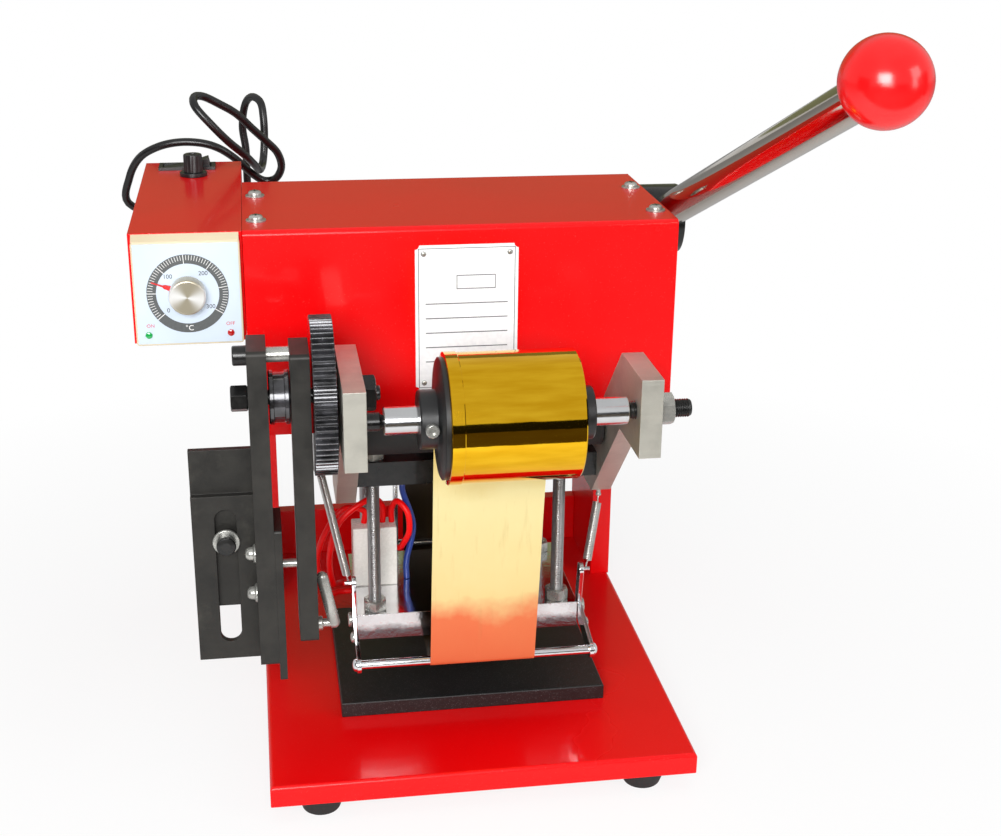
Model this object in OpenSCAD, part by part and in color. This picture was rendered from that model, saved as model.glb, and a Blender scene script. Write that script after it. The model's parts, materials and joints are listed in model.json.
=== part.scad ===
// Hot foil stamping machine with a hand lever, a heated head and a roll of foil.
// Millimetres, +Z up, front towards -Y. Before place() the base's front edge lies at -base_front.

/* [Base] */
// Width of the base plate
base_w = 300; // [270:1:340]
// Depth of the base plate
base_d = 380; // [370:1:430]
// Distance from the head's reference line to the front edge of the base
base_front = 150; // [130:1:190]
// Thickness of the base plate
base_t = 16; // [12:0.5:22]
// Rounding of the base plate's upper edges
base_edge = 3; // [1:0.5:5]
// Diameter of a rubber foot where it meets the base
foot_d = 36; // [26:1:40]
// Height of a rubber foot
foot_h = 14; // [8:1:24]
// Distance of a foot's centre from the base's side edges
foot_inset = 35; // [24:1:50]
// Width of the work table
table_w = 196; // [150:1:230]
// Depth of the work table
table_d = 150; // [110:1:170]
// Thickness of the work table
table_t = 11.5; // [8:0.5:16]

/* [Frame] */
// Thickness of a side plate
plate_t = 16; // [12:0.5:20]
// Height of the side plates above the base
frame_h = 354; // [350:1:380]
// Depth of the upright part of a side plate
column_d = 87; // [70:1:95]
// Length of the forward arm of a side plate
arm_len = 153; // [150:1:165]
// Height of the forward arm
arm_h = 132; // [126:1:140]
// Thickness of the cover's sheet
sheet_t = 1.5; // [1:0.1:2.5]
// Height of the cover
cover_h = 148; // [140:1:156]
// Depth of the cover
cover_d = 156; // [150:1:158]
// Height of the rear tie plate
tie_h = 42; // [30:1:90]
// Thickness of the rear tie plate
tie_t = 12; // [8:0.5:16]

/* [Lever] */
// Height of the lever's shaft below the top of the side plates
lever_drop = 30; // [29:0.5:32]
// Diameter of the lever's shaft
shaft_d = 22; // [18:0.5:24]
// Distance from the shaft to the middle of the ball
lever_len = 460; // [380:5:520]
// Tilt of the resting lever above level, in degrees
lever_tilt = 21.8; // [10:0.2:30]
// Diameter of the lever rod at the hub
rod_d = 26; // [20:0.5:28]
// Diameter of the lever rod at the ball
rod_tip_d = 23.5; // [16:0.5:24]
// Diameter of the ball
ball_d = 48; // [42:1:60]
// Diameter of the lever's hub
hub_d = 54; // [48:1:60]
// Width of the lever's hub
hub_w = 34; // [32:1:44]
// Tooth module of the pinion and the racks
rack_module = 2.5; // [2:0.25:2.5]

/* [Head] */
// Width of the heater plate
heater_w = 164; // [150:1:166]
// Depth of the heater plate
heater_d = 104; // [98:1:120]
// Thickness of the heater plate
heater_t = 20; // [16:0.5:24]
// Height of the heater's face above the work table at rest
daylight = 40.5; // [36:0.5:50]
// Height of the head plate above the heater plate
stud_gap = 102; // [90:1:106]
// Thickness of the head plate
head_t = 18; // [14:0.5:20]
// Diameter of a stud
stud_d = 9.3; // [7:0.1:11]
// Thickness of a foil bracket
bracket_t = 14.5; // [12:0.5:15]
// Width of a rack column
column_w = 22; // [16:0.5:24]

/* [Foil] */
// Diameter of the foil roll
roll_d = 84.6; // [60:0.1:94]
// Width of the foil roll
roll_w = 84; // [80:1:92]
// Width of the foil strip
strip_w = 76; // [50:1:78]
// Thickness of the foil strip as it is drawn
strip_t = 0.4; // [0.3:0.05:0.6]
// Diameter of the foil roll's shaft
foil_shaft_d = 18; // [14:0.5:20]
// Tooth module of the foil feed gears
feed_module = 1.5; // [1.3:0.1:1.6]
// Width of the feed gear
gear_w = 14.5; // [10:0.5:14.5]
// Diameter of the guide rods
guide_d = 6.5; // [4:0.5:7]
// Diameter of the take-up roller
take_up_d = 26; // [18:1:28]

/* [Controls] */
// Width and height of the controller's front
bezel_w = 72; // [68:1:73]
// Height of the control box
box_h = 76.7; // [75:0.5:80]
// Depth of the control box
box_d = 236; // [220:1:240]
// Thickness of the control box's sheet
box_t = 1.2; // [0.8:0.1:1.6]
// Diameter of the temperature knob
knob_d = 25; // [18:1:32]

/* [Cord] */
// Diameter of the power cord
cord_d = 6.5; // [5:0.5:7]

/* [Clearances] */
// Radial play of a turning fit
fit = 0.05; // [0.02:0.01:0.1]
// Gap between pieces that pass each other
gap = 0.3; // [0.2:0.05:0.5]
// Play on each flank of a gear tooth
backlash = 0.35; // [0.3:0.05:0.5]

/* [Hidden] */
$fn = 48;

// Heights
base_top = foot_h + base_t;
table_top = base_top + table_t;
frame_top = base_top + frame_h;
cover_top = frame_top + gap / 2 + sheet_t;
heater_z = table_top + daylight;
heater_top = heater_z + heater_t;
head_z = heater_top + stud_gap;
head_top = head_z + head_t;

// Places along X and Y
rear_y = base_d - base_front;
base_back = 4;
column_y1 = rear_y - base_back;
column_y0 = column_y1 - column_d;
arm_y0 = column_y0 - arm_len;
arm_z0 = frame_top - arm_h;
plate_x1 = base_w / 2;
plate_x0 = plate_x1 - plate_t;
cover_x = plate_x1 + gap / 2 + sheet_t;
cover_front = 9;
cover_y0 = arm_y0 - cover_front;
cover_y1 = cover_y0 + cover_d;
cover_z0 = cover_top - cover_h;
panel_y1 = column_y1 + sheet_t;
panel_foot = 175;
panel_z0 = base_top + panel_foot;
slope_drop = 39;
slope_len = 93;
panel_z1 = frame_top - slope_drop;
table_y0 = -67;
table_x = 2;
tie_y0 = column_y1 - tie_t;

// Lever, rack and pinion
teeth_pinion = 20;
pinion_r = rack_module * teeth_pinion / 2;
column_front = 60;
rack_depth = 27;
rack_pitch_y = column_front + rack_depth;
lever_y = rack_pitch_y + pinion_r;
lever_z = frame_top - lever_drop;
addendum = 0.88;
dedendum = 1.25;
rack_root = 1.4;
column_root_y = rack_pitch_y - rack_root * rack_module;
column_tip_y = rack_pitch_y + addendum * rack_module;
column_x0 = 46;
column_x1 = column_x0 + column_w;
column_clear = 2.5;
column_top = frame_top - column_clear;
rack_pitch = PI * rack_module;
guide_lift = 34;
guide_z0 = head_top + guide_lift;
guide_h = 40;
guide_front = 8;
guide_back = 20;
guide_y0 = column_front - guide_front;
guide_y1 = column_root_y + guide_back;
bush_wall = 3;
bush_r = shaft_d / 2 + bush_wall;
hub_clear = 2.3;
hub_x0 = cover_x + hub_clear;
hub_x1 = hub_x0 + hub_w;
rod_x = (hub_x0 + hub_x1) / 2;
rod_in = 15;
ball_depth = 16;

// Head
head_x0 = -80;
head_x1 = 93;
head_y0 = -46;
head_y1 = 112;
heater_y0 = head_y0;
heater_x = heater_w / 2;
stud_x = 68;
stud_y = [-36, 46];
stud_out = 11;
stud_in = 12;
stud_top = head_top + stud_out;
stud_foot = heater_top - stud_in;
nut_h = 8;
nut_r = 9;
bl_x0 = head_x0 - bracket_t;
br_x1 = head_x1 + bracket_t;
bracket_drop = 18;
bracket_foot = head_z - bracket_drop;
// A bracket's outline rises from foot to front: points are Y and height above bracket_foot
bracket_low = [[8, 0], [-32, 0], [-111, 79], [-165, 79], [-165, 132]];
spring_bar_y = 22;
spring_bar_drop = 10;
spring_bar_z = frame_top - spring_bar_drop;
spring_bar_r = 5;
return_r = 5;
return_x = 70;

// Foil feed
foil_y = -150;
foil_rise = 107;
foil_z = bracket_foot + foil_rise;
roll_x0 = -30.5;
roll_x1 = roll_x0 + roll_w;
flange_t = 3.5;
collar_w = [13, 11];
collar_x0 = roll_x0 - flange_t - collar_w[0];
collar_x1 = roll_x1 + collar_w[1];
shaft_left = 21.8;
shaft_right = 23.3;
foil_shaft_x0 = collar_x0 - shaft_left;
foil_shaft_x1 = collar_x1 + shaft_right;
tip_r = 4;
tip_in = 12;
core_r = 13;
gear_y = -105;
gear_rise = 3;
gear_z = foil_z + gear_rise;
teeth_feed = 68;
teeth_take_up = 20;
mesh_angle = -47;
mesh_dist = feed_module * (teeth_feed + teeth_take_up) / 2;
take_y = gear_y + mesh_dist * cos(mesh_angle);
take_z = gear_z + mesh_dist * sin(mesh_angle);
take_journal = 5;
gear_clear = 2.5;
gear_x1 = bl_x0 - gear_clear;
gear_x0 = gear_x1 - gear_w;
stub_r = 5;
inner_t = 12.5;
arm_clear = 1;
inner_x1 = gear_x0 - arm_clear;
inner_x0 = inner_x1 - inner_t;
drum_w = 13.5;
drum_clear = 0.5;
drum_r = 18;
drum_x1 = inner_x0 - drum_clear;
drum_x0 = drum_x1 - drum_w;
thin_t = 5;
outer_t = 12.5;
outer_x1 = drum_x0 - drum_clear;
outer_x0 = outer_x1 - outer_t;
thin_x1 = outer_x1 + thin_t;
arm_y = [gear_y - 23, gear_y + 17];
arm_rise = 38;
arm_top = gear_z + arm_rise;
tie_rise = 29;
tie_z = gear_z + tie_rise;
tie_r = 5;
stub_head = 11;
stub_nut = 10;
stub_nut_r = 12.5;
tie_head = 9;

// Tension frame and guide rods
link_t = 3;
link_play = 0.4;
link_x0 = heater_x + link_play;
link_x1 = link_x0 + link_t;
pivot_y = heater_y0 + 6;
pivot_z = heater_top - 6;
pivot_r = 3;
pivot_in = 8;
guide_r = guide_d / 2;
rod_y = heater_y0 - 42;
rod_z = heater_z + 3;
link_top_y = heater_y0;
link_top_z = heater_top + 27;
rear_x0 = -40;
rear_x1 = 49;
rear_strip_t = 3;
rear_y0 = head_y1;
rear_strip_d = 12;
rear_strip_end = [8, 7];
rear_rod_y = rear_y0 + rear_strip_d / 2;
rear_low_z = heater_z - 2;
rear_high_z = head_top + 7;

// Control box
box_x1 = -cover_x - gap * 0.7;
box_side = 1.8;
box_w = bezel_w + 2 * box_side;
box_x0 = box_x1 - box_w;
box_y0 = cover_y0 + 1;
box_y1 = box_y0 + box_d;
box_top = cover_top;
box_z0 = box_top - box_h;
bezel_t = 6;
bezel_x = (box_x0 + box_x1) / 2;
bezel_z = box_z0 + bezel_w / 2;
bezel_lip = 3;
case_w = bezel_w - 2 * bezel_lip;
case_d = 80;
knob_h = 11;
spindle_r = 3;
switch_w = 44;
switch_d = 20;
switch_x = bezel_x - 4.5;
switch_y = box_y1 - 22;
fuse_x = bezel_x + 1.2;
fuse_y = box_y1 - 52;
fuse_r = 7.3;

// The finished part stands centred on the floor, the cord apart
x_min = box_x0;
x_max = rod_x + ball_d / 2;
y_min = lever_y - lever_len * cos(lever_tilt) - ball_d / 2;
place_v = [-(x_min + x_max) / 2, -(y_min + rear_y) / 2, 0];

red = "crimson";
black = [0.08, 0.08, 0.09];
steel = [0.75, 0.76, 0.78];
dark = [0.22, 0.24, 0.22];

// Moves a piece from the machine's own lines to the part's origin
module place() { translate(place_v) children(); }
// The two ends of a width about its middle
function span(middle, width) = [middle - width / 2, middle + width / 2];
module block(x, y, z) {
  translate([x[0], y[0], z[0]]) cube([x[1] - x[0], y[1] - y[0], z[1] - z[0]]);
}
module xcyl(x, y, z, r) { translate([x[0], y, z]) rotate([0, 90, 0]) cylinder(r = r, h = x[1] - x[0]); }
module ycyl(x, y, z, r) { translate([x, y[0], z]) rotate([-90, 0, 0]) cylinder(r = r, h = y[1] - y[0]); }
module zcyl(x, y, z, r) { translate([x, y, z[0]]) cylinder(r = r, h = z[1] - z[0]); }
// A profile in Y and Z drawn out along X
module side_profile(x) { translate([x[0], 0, 0]) rotate([90, 0, 90]) linear_extrude(x[1] - x[0]) children(); }
// A profile in X and Z drawn out along Y
module front_profile(y) { translate([0, y[1], 0]) rotate([90, 0, 0]) linear_extrude(y[1] - y[0]) children(); }
module rounded(x, y, r) {
  translate([x[0] + r, y[0]]) square([x[1] - x[0] - 2 * r, y[1] - y[0]]);
  translate([x[0], y[0] + r]) square([x[1] - x[0], y[1] - y[0] - 2 * r]);
  for (px = [x[0] + r, x[1] - r])
    for (py = [y[0] + r, y[1] - r])
      translate([px, py]) circle(r);
}
module round_top(x, z, r) {
  rounded(x, z, r);
  translate([x[0], z[0]]) square([x[1] - x[0], r]);
}
// A six-sided head along X, and a nut with its bore
module xhead(x, y, z, r) {
  translate([x[0], y, z]) rotate([0, 90, 0]) cylinder(r = r, h = x[1] - x[0], $fn = 6);
}
module xnut(x, y, z, r, bore) {
  difference() {
    xhead(x, y, z, r);
    xcyl([x[0] - 1, x[1] + 1], y, z, bore);
  }
}
module znut(x, y, z, r, bore) {
  difference() {
    translate([x, y, z[0]]) cylinder(r = r, h = z[1] - z[0], $fn = 6);
    zcyl(x, y, [z[0] - 1, z[1] + 1], bore);
  }
}

// Involute gear outline, in degrees, a tooth centred on angle first
function roll_angle(r, rb) = r <= rb ? 0 : sqrt(r * r / (rb * rb) - 1) * 180 / PI - acos(rb / r);
function half_tooth(r, rb, rp, m) =
  (PI * m / 2 - backlash) / (2 * rp) * 180 / PI + roll_angle(rp, rb) - roll_angle(r, rb);
function gear_outline(m, z, first) =
  let (rp = m * z / 2, rb = rp * cos(20), ra = rp + addendum * m, rf = rp - dedendum * m)
  let (r0 = max(rb, rf), radii = concat(rf < rb ? [rf] : [], [r0, (r0 + ra) / 2, ra]), n = len(radii))
  [for (k = [0:z - 1]) for (s = [0:2 * n - 1])
    let (r = radii[s < n ? s : 2 * n - 1 - s], h = half_tooth(r, rb, rp, m) * (s < n ? -1 : 1))
    let (a = first + k * 360 / z + h) r * [cos(a), sin(a)]];

// One tube swept along points: each ring's direction is carried on from the ring before
function unit(v) = v / norm(v);
function along(p) = [for (i = [0:len(p) - 1]) unit(p[min(i + 1, len(p) - 1)] - p[max(i - 1, 0)])];
function carry(n, t) = unit(n - t * (n * t));
function sides_of(t, acc) =
  len(acc) == len(t) ? acc : sides_of(t, concat(acc, [carry(acc[len(acc) - 1], t[len(acc)])]));
function tube_points(p, r, k, n0) =
  let (t = along(p), n = sides_of(t, [carry(n0, t[0])]))
  [for (i = [0:len(p) - 1]) for (j = [0:k - 1])
    p[i] + r * (cos(360 * j / k) * n[i] + sin(360 * j / k) * cross(t[i], n[i]))];
function tube_faces(m, k) = concat(
  [for (j = [1:k - 2]) [0, j, j + 1]],
  [for (i = [0:m - 2]) for (j = [0:k - 1]) [i * k + j, (i + 1) * k + j, (i + 1) * k + (j + 1) % k]],
  [for (i = [0:m - 2]) for (j = [0:k - 1]) [i * k + j, (i + 1) * k + (j + 1) % k, i * k + (j + 1) % k]],
  [for (j = [1:k - 2]) [(m - 1) * k, (m - 1) * k + j + 1, (m - 1) * k + j]]);
module tube(p, r, k, n0) { polyhedron(tube_points(p, r, k, n0), tube_faces(len(p), k)); }
// A smooth curve through hand-placed points
function bend(a, b, c, d, u) = 0.5 * (2 * b + (c - a) * u + (2 * a - 5 * b + 4 * c - d) * u * u
  + (3 * b - a - 3 * c + d) * u * u * u);
function smooth(p, steps) = let (n = len(p)) concat(
  [for (i = [0:n - 2]) for (s = [0:steps - 1])
    bend(p[max(i - 1, 0)], p[i], p[i + 1], p[min(i + 2, n - 1)], s / steps)], [p[n - 1]]);
// Least gap of a wound tube to itself, from its points
function self_gap(p, r, skip) =
  min([for (i = [0:len(p) - 1 - skip]) for (j = [i + skip:len(p) - 1]) norm(p[i] - p[j])]) - 2 * r;

// Frame

module base_plate() {
  color(red) place() intersection() {
    front_profile([-base_front, rear_y]) round_top([-base_w / 2, base_w / 2], [foot_h, base_top], base_edge);
    side_profile([-base_w / 2, base_w / 2]) round_top([-base_front, rear_y], [foot_h, base_top], base_edge);
  }
}
foot_in = 20;
foot_taper = 10;
module rubber_feet() {
  color(black) place()
    for (x = [-1, 1])
      for (y = [-base_front + foot_in, rear_y - foot_in])
        translate([x * (base_w / 2 - foot_inset), y, 0])
          cylinder(d1 = foot_d - foot_taper, d2 = foot_d, h = foot_h);
}
table_edge = 1;
module work_table() {
  color(black) place() intersection() {
    front_profile([table_y0, table_y0 + table_d])
      round_top([table_x - table_w / 2, table_x + table_w / 2], [base_top, table_top], table_edge);
    side_profile([table_x - table_w / 2, table_x + table_w / 2])
      round_top([table_y0, table_y0 + table_d], [base_top, table_top], table_edge);
  }
}
slope_y = column_y1 - slope_len;
screw_x = (plate_x0 + plate_x1) / 2;
screw_y = [arm_y0 + 20, arm_y0 + 97];
screw_len = 11;
screw_hole = 12;
panel_screw_in = [18, 20];
panel_screw_z = [panel_z0 + panel_screw_in[0], panel_z1 - panel_screw_in[1]];
screw_r = 2.4;
module side_plate(side) {
  x = side > 0 ? [plate_x0, plate_x1] : [-plate_x1, -plate_x0];
  difference() {
    side_profile(x) polygon([[column_y0, base_top], [column_y1, base_top],
      [column_y1, frame_top - slope_drop], [slope_y, frame_top],
      [arm_y0, frame_top], [arm_y0, arm_z0], [column_y0, arm_z0]]);
    xcyl([x[0] - 1, x[1] + 1], lever_y, lever_z, bush_r);
    for (y = screw_y)
      zcyl(side * screw_x, y, [frame_top - screw_hole, frame_top + 1], screw_r + fit);
    for (z = panel_screw_z)
      ycyl(side * screw_x, [column_y1 - screw_hole, column_y1 + 1], z, screw_r + fit);
  }
}
module side_plate_left() { color(red) place() side_plate(-1); }
module side_plate_right() { color(red) place() side_plate(1); }
module rear_tie_plate() {
  color(red) place() block([-plate_x0, plate_x0], [tie_y0, column_y1], [base_top, base_top + tie_h]);
}
// The rear panel stands on the plates' rear edges and folds forward over their slope to the cover
module panel_line(off) {
  slope = unit([column_y1 - slope_y, -slope_drop]);
  rise = [-slope[1], slope[0]] * off;
  top = [cover_y1 + gap, frame_top - slope_drop * (cover_y1 + gap - slope_y) / (column_y1 - slope_y)];
  fold = frame_top - slope_drop + off * (1 - slope[0] * 0.5);
  polygon([[column_y1, panel_z0], [column_y1 + off, panel_z0], [column_y1 + off, fold],
    top + rise, top, [column_y1, frame_top - slope_drop]]);
}
panel_in = 1;
module rear_panel() {
  color(red) place() difference() {
    side_profile([-plate_x1 + panel_in, plate_x1 - panel_in]) panel_line(sheet_t);
    for (x = [-screw_x, screw_x])
      for (z = panel_screw_z)
        ycyl(x, [column_y1 - 1, panel_y1 + 1], z, screw_r + gap);
  }
}
cover_fold = 4;
module cover_outline(inset, open) {
  y0 = cover_y0 + inset;
  z1 = cover_top - inset;
  r = cover_fold - inset;
  translate([y0, cover_z0 - open]) square([cover_d - inset + open, cover_h - inset - r + open]);
  translate([y0 + r, cover_z0 - open]) square([cover_d - inset - r + open, cover_h - inset + open]);
  translate([y0 + r, z1 - r]) circle(r);
}
shaft_hole_r = bush_r + 1;
module cover() {
  color(red) place() difference() {
    side_profile([-cover_x, cover_x]) cover_outline(0, 0);
    side_profile([-cover_x + sheet_t, cover_x - sheet_t]) cover_outline(sheet_t, 1);
    xcyl([plate_x1, cover_x + 1], lever_y, lever_z, shaft_hole_r);
    for (x = [-screw_x, screw_x])
      for (y = screw_y)
        zcyl(x, y, [cover_top - sheet_t - 1, cover_top + 1], screw_r + gap);
  }
}
name_t = 0.8;
plate_y = cover_y0 - name_t;
name_x = [-35, 37.5];
name_z = [cover_top - 119.3, cover_top - 13.2];
name_corner = 3;
module nameplate() {
  color("white") place() difference() {
    block(name_x, [plate_y, cover_y0], name_z);
    for (x = name_x)
      for (z = name_z)
        ycyl(x, [plate_y - 1, cover_y0 + 1], z, name_corner);
  }
}
washer_r = 7;
washer_t = 1.2;
dome_r = [4.8, 3.2];
dome_h = 3;
pan_r = 4.6;
pan_h = 2.4;
rivet_in = 6;
rivet_r = 2.2;
rivet_h = 1;
module cabinet_fasteners() {
  color(steel) place() {
    for (x = [-screw_x, screw_x]) {
      for (y = screw_y) {
        zcyl(x, y, [cover_top, cover_top + washer_t], washer_r);
        translate([x, y, cover_top + washer_t]) cylinder(r1 = dome_r[0], r2 = dome_r[1], h = dome_h);
        zcyl(x, y, [frame_top - screw_len, cover_top + 1], screw_r);
      }
      for (z = panel_screw_z) {
        ycyl(x, [panel_y1, panel_y1 + pan_h], z, pan_r);
        ycyl(x, [column_y1 - screw_len, panel_y1 + 1], z, screw_r);
      }
    }
    for (x = [name_x[0] + rivet_in, name_x[1] - rivet_in])
      for (z = [name_z[0] + rivet_in, name_z[1] - rivet_in])
        ycyl(x, [plate_y - rivet_h, plate_y], z, rivet_r);
  }
}
module column_guide() {
  color("dimgray") place() difference() {
    block([-plate_x0, plate_x0], [guide_y0, guide_y1], [guide_z0, guide_z0 + guide_h]);
    for (x = [-column_x1 - gap, column_x0 - gap])
      block([x, x + column_w + 2 * gap], [column_front - gap, column_root_y + gap],
        [guide_z0 - 1, guide_z0 + guide_h + 1]);
  }
}
module shaft_bushes() {
  color("goldenrod") place()
    for (x = [-plate_x1, plate_x0])
      difference() {
        xcyl([x, x + plate_t], lever_y, lever_z, bush_r);
        xcyl([x - 1, x + plate_t + 1], lever_y, lever_z, shaft_d / 2 + fit);
      }
}
module spring_bar() {
  color(steel) place() xcyl([-plate_x0, plate_x0], spring_bar_y, spring_bar_z, spring_bar_r);
}

// Control box and what sits in it

fuse_body_r = 6.4;
switch_lip = 1.5;
switch_body = [switch_w - 2 * switch_lip, switch_d - 2 * switch_lip];
module control_box() {
  color(red) place() difference() {
    block([box_x0, box_x1], [box_y0, box_y1], [box_z0, box_top]);
    block([box_x0 + box_t, box_x1 - box_t], [box_y0 + box_t, box_y1 - box_t],
      [box_z0 + box_t, box_top - box_t]);
    block(span(bezel_x, case_w + 2 * gap), [box_y0 - 1, box_y0 + box_t + 1], span(bezel_z, case_w + 2 * gap));
    block(span(switch_x, switch_body[0] + 2 * gap), span(switch_y, switch_body[1] + 2 * gap),
      [box_top - box_t - 1, box_top + 1]);
    zcyl(fuse_x, fuse_y, [box_top - box_t - 1, box_top + 1], fuse_body_r + gap);
  }
}
bezel_y = box_y0 - bezel_t;
bezel_corner = 2;
spindle_in = 14;
module controller_case() {
  color("ivory") place() difference() {
    union() {
      front_profile([bezel_y, box_y0])
        rounded(span(bezel_x, bezel_w), span(bezel_z, bezel_w), bezel_corner);
      block(span(bezel_x, case_w), [box_y0 - 1, box_y0 + case_d], span(bezel_z, case_w));
    }
    ycyl(bezel_x, [bezel_y - 1, bezel_y + spindle_in + 1], bezel_z, spindle_r + fit);
  }
}
ring_t = 0.6;
ring_clear = 0.6;
module dial_ring() {
  color("dimgray") place() difference() {
    ycyl(bezel_x, [bezel_y - ring_t, bezel_y], bezel_z, knob_d);
    ycyl(bezel_x, [bezel_y - 1, bezel_y + 1], bezel_z, knob_d / 2 + ring_clear);
  }
}
lamp_x = 27.5;
lamp_drop = 28.5;
lamp_h = 1.5;
lamp_r = 2.4;
module indicator_lamps() {
  color("green") place()
    for (x = [-lamp_x, lamp_x])
      ycyl(bezel_x + x, [bezel_y - lamp_h, bezel_y], bezel_z - lamp_drop, lamp_r);
}
module temperature_knob() {
  color(steel) place() {
    ycyl(bezel_x, [bezel_y - knob_h, bezel_y - gap], bezel_z, knob_d / 2);
    ycyl(bezel_x, [bezel_y - 1, bezel_y + spindle_in], bezel_z, spindle_r);
  }
}
rocker_rise = 1;
rocker_z = box_top + rocker_rise;
rocker_l = 18;
rocker_wall = 1.5;
rocker_pin = 1.2;
rocker_pin_r = 1.5;
rocker_tilt = 12;
rocker_outline = [[-rocker_l, -3], [-rocker_l, 4], [0, 2.4], [rocker_l, 4], [rocker_l, -3], [0, -6]];
rocker_well = 12;
switch_rim = 2.5;
switch_body_h = 22;
pin_wall = 0.2;
module switch_housing() {
  color(black) place() difference() {
    union() {
      block(span(switch_x, switch_w), span(switch_y, switch_d), [box_top, box_top + switch_rim]);
      block(span(switch_x, switch_body[0]), span(switch_y, switch_body[1]),
        [box_top - switch_body_h, box_top + 1]);
    }
    block(span(switch_x, 2 * rocker_l + 2), span(switch_y, switch_body[1] - 2 * rocker_wall),
      [box_top - rocker_well, box_top + switch_rim + 1]);
    ycyl(switch_x, span(switch_y, switch_body[1] - 2 * pin_wall), rocker_z, rocker_pin_r + fit);
  }
}
module switch_rocker() {
  y = span(switch_y, switch_body[1] - 2 * (rocker_wall + gap));
  color(black) place() translate([switch_x, 0, rocker_z]) rotate([0, -rocker_tilt, 0]) {
    front_profile(y) polygon(rocker_outline);
    ycyl(0, [y[0] - rocker_pin, y[1] + rocker_pin], 0, rocker_pin_r);
  }
}
fuse_flange = 3.2;
fuse_flange_h = 3;
fuse_body_h = 32;
cap_h = 14;
cap_slot = 0.8;
cap_slot_h = 2;
module fuse_holder() {
  color(black) place() {
    zcyl(fuse_x, fuse_y, [box_top, box_top + fuse_flange_h], fuse_r + fuse_flange);
    zcyl(fuse_x, fuse_y, [box_top - fuse_body_h, box_top + 1], fuse_body_r);
  }
}
module fuse_cap() {
  color(black) place() difference() {
    zcyl(fuse_x, fuse_y, [box_top + fuse_flange_h, box_top + fuse_flange_h + cap_h], fuse_r);
    block([fuse_x - fuse_r, fuse_x + fuse_r], [fuse_y - cap_slot, fuse_y + cap_slot],
      [box_top + fuse_flange_h + cap_h - cap_slot_h, box_top + fuse_flange_h + cap_h + 1]);
  }
}

// Lever

press = 0.02;
module along_lever(s) {
  translate([rod_x, lever_y, lever_z]) rotate([90 - lever_tilt, 0, 0]) translate([0, 0, s]) children();
}
module lever_shaft() {
  color(steel) place() xcyl([-plate_x1 + 1, hub_x1], lever_y, lever_z, shaft_d / 2);
}
module lever_pinions() {
  first = 180 + 180 / teeth_pinion;
  color("gray") place()
    for (x = [-column_x1, column_x0])
      difference() {
        translate([0, lever_y, lever_z])
          side_profile([x, x + column_w]) polygon(gear_outline(rack_module, teeth_pinion, first));
        xcyl([x - 1, x + column_w + 1], lever_y, lever_z, shaft_d / 2 + press);
      }
}
module lever_hub() {
  color(black) place() difference() {
    xcyl([hub_x0, hub_x1], lever_y, lever_z, hub_d / 2);
    xcyl([hub_x0 - 1, hub_x1 + 1], lever_y, lever_z, shaft_d / 2 + press);
    along_lever(rod_in) cylinder(d = rod_d + 2 * press, h = hub_d);
  }
}
module lever_rod() {
  color(steel) place() along_lever(rod_in)
    cylinder(d1 = rod_d, d2 = rod_tip_d, h = lever_len - ball_d / 2 + ball_depth - rod_in);
}
module lever_ball() {
  color("red") place() difference() {
    along_lever(lever_len) sphere(d = ball_d, $fn = 64);
    along_lever(lever_len - ball_d) cylinder(d = rod_tip_d + 4 * fit, h = ball_d / 2 + ball_depth);
  }
}

// Pressing head

rack_half = rack_pitch / 4 - backlash / 2;
tooth_lean = tan(20);
rack_teeth = [-2:3];
module rack_column(x) {
  root = rack_half + (rack_pitch_y - column_root_y) * tooth_lean;
  tip = rack_half - (column_tip_y - rack_pitch_y) * tooth_lean;
  teeth = [for (k = rack_teeth) let (z = lever_z + k * rack_pitch)
    each [[column_root_y, z - root], [column_tip_y, z - tip],
      [column_tip_y, z + tip], [column_root_y, z + root]]];
  side_profile([x, x + column_w]) polygon(concat([[column_front, head_top], [column_root_y, head_top]], teeth,
    [[column_root_y, column_top], [column_front, column_top]]));
}
module rack_columns() {
  color(steel) place()
    for (x = [-column_x1, column_x0])
      rack_column(x);
}
module at_studs() {
  for (x = [-stud_x, stud_x])
    for (y = stud_y)
      translate([x, y, 0]) children();
}
bolt_y = [-22, -4];
bolt_z = head_z + head_t / 2;
bolt_r = 3.5;
bolt_head_r = 6;
bolt_len = 14;
bolt_hole = 15;
module bracket_bolts(x, r) {
  for (y = bolt_y)
    xcyl(x, y, bolt_z, r);
}
module head_plate() {
  color(black) place() difference() {
    block([head_x0, head_x1], [head_y0, head_y1], [head_z, head_top]);
    at_studs() zcyl(0, 0, [head_z - 1, head_top + 1], stud_d / 2 + 4 * fit);
    bracket_bolts([head_x0 - 1, head_x0 + bolt_hole], bolt_r + fit);
    bracket_bolts([head_x1 - bolt_hole, head_x1 + 1], bolt_r + fit);
  }
}
pivot_screw_r = 6;
module bracket(x, upper) {
  points = [for (p = concat(bracket_low, upper)) p + [0, bracket_foot]];
  out = [x[0] - 1, x[1] + 1];
  difference() {
    side_profile(x) polygon(points);
    xcyl(out, foil_y, foil_z, pivot_screw_r + fit);
    xcyl(out, take_y, take_z, take_journal + fit);
    bracket_bolts(out, bolt_r + fit);
  }
}
module bracket_left() {
  color("silver") place() difference() {
    bracket([bl_x0, head_x0], [[-69, 132], [-27, 90], [-27, 44], [8, 44]]);
    xcyl([bl_x0 - 1, head_x0 + 1], gear_y, gear_z, stub_r + press);
  }
}
module bracket_right() {
  color("silver") place() bracket([head_x1, br_x1], [[-109, 132], [-21, 44], [8, 15]]);
}
pin_r = 1.5;
left_pin_r = 3;
left_pin_len = 16;
right_pin_len = 6;
left_pin = [-50, bracket_foot + 38];
right_pin = [head_x1 + 6.5, -28];
bolt_head = 6;
pivot_nut = 10;
pivot_nut_r = 11;
pivot_head = 2.5;
pivot_head_r = 5.5;
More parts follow.
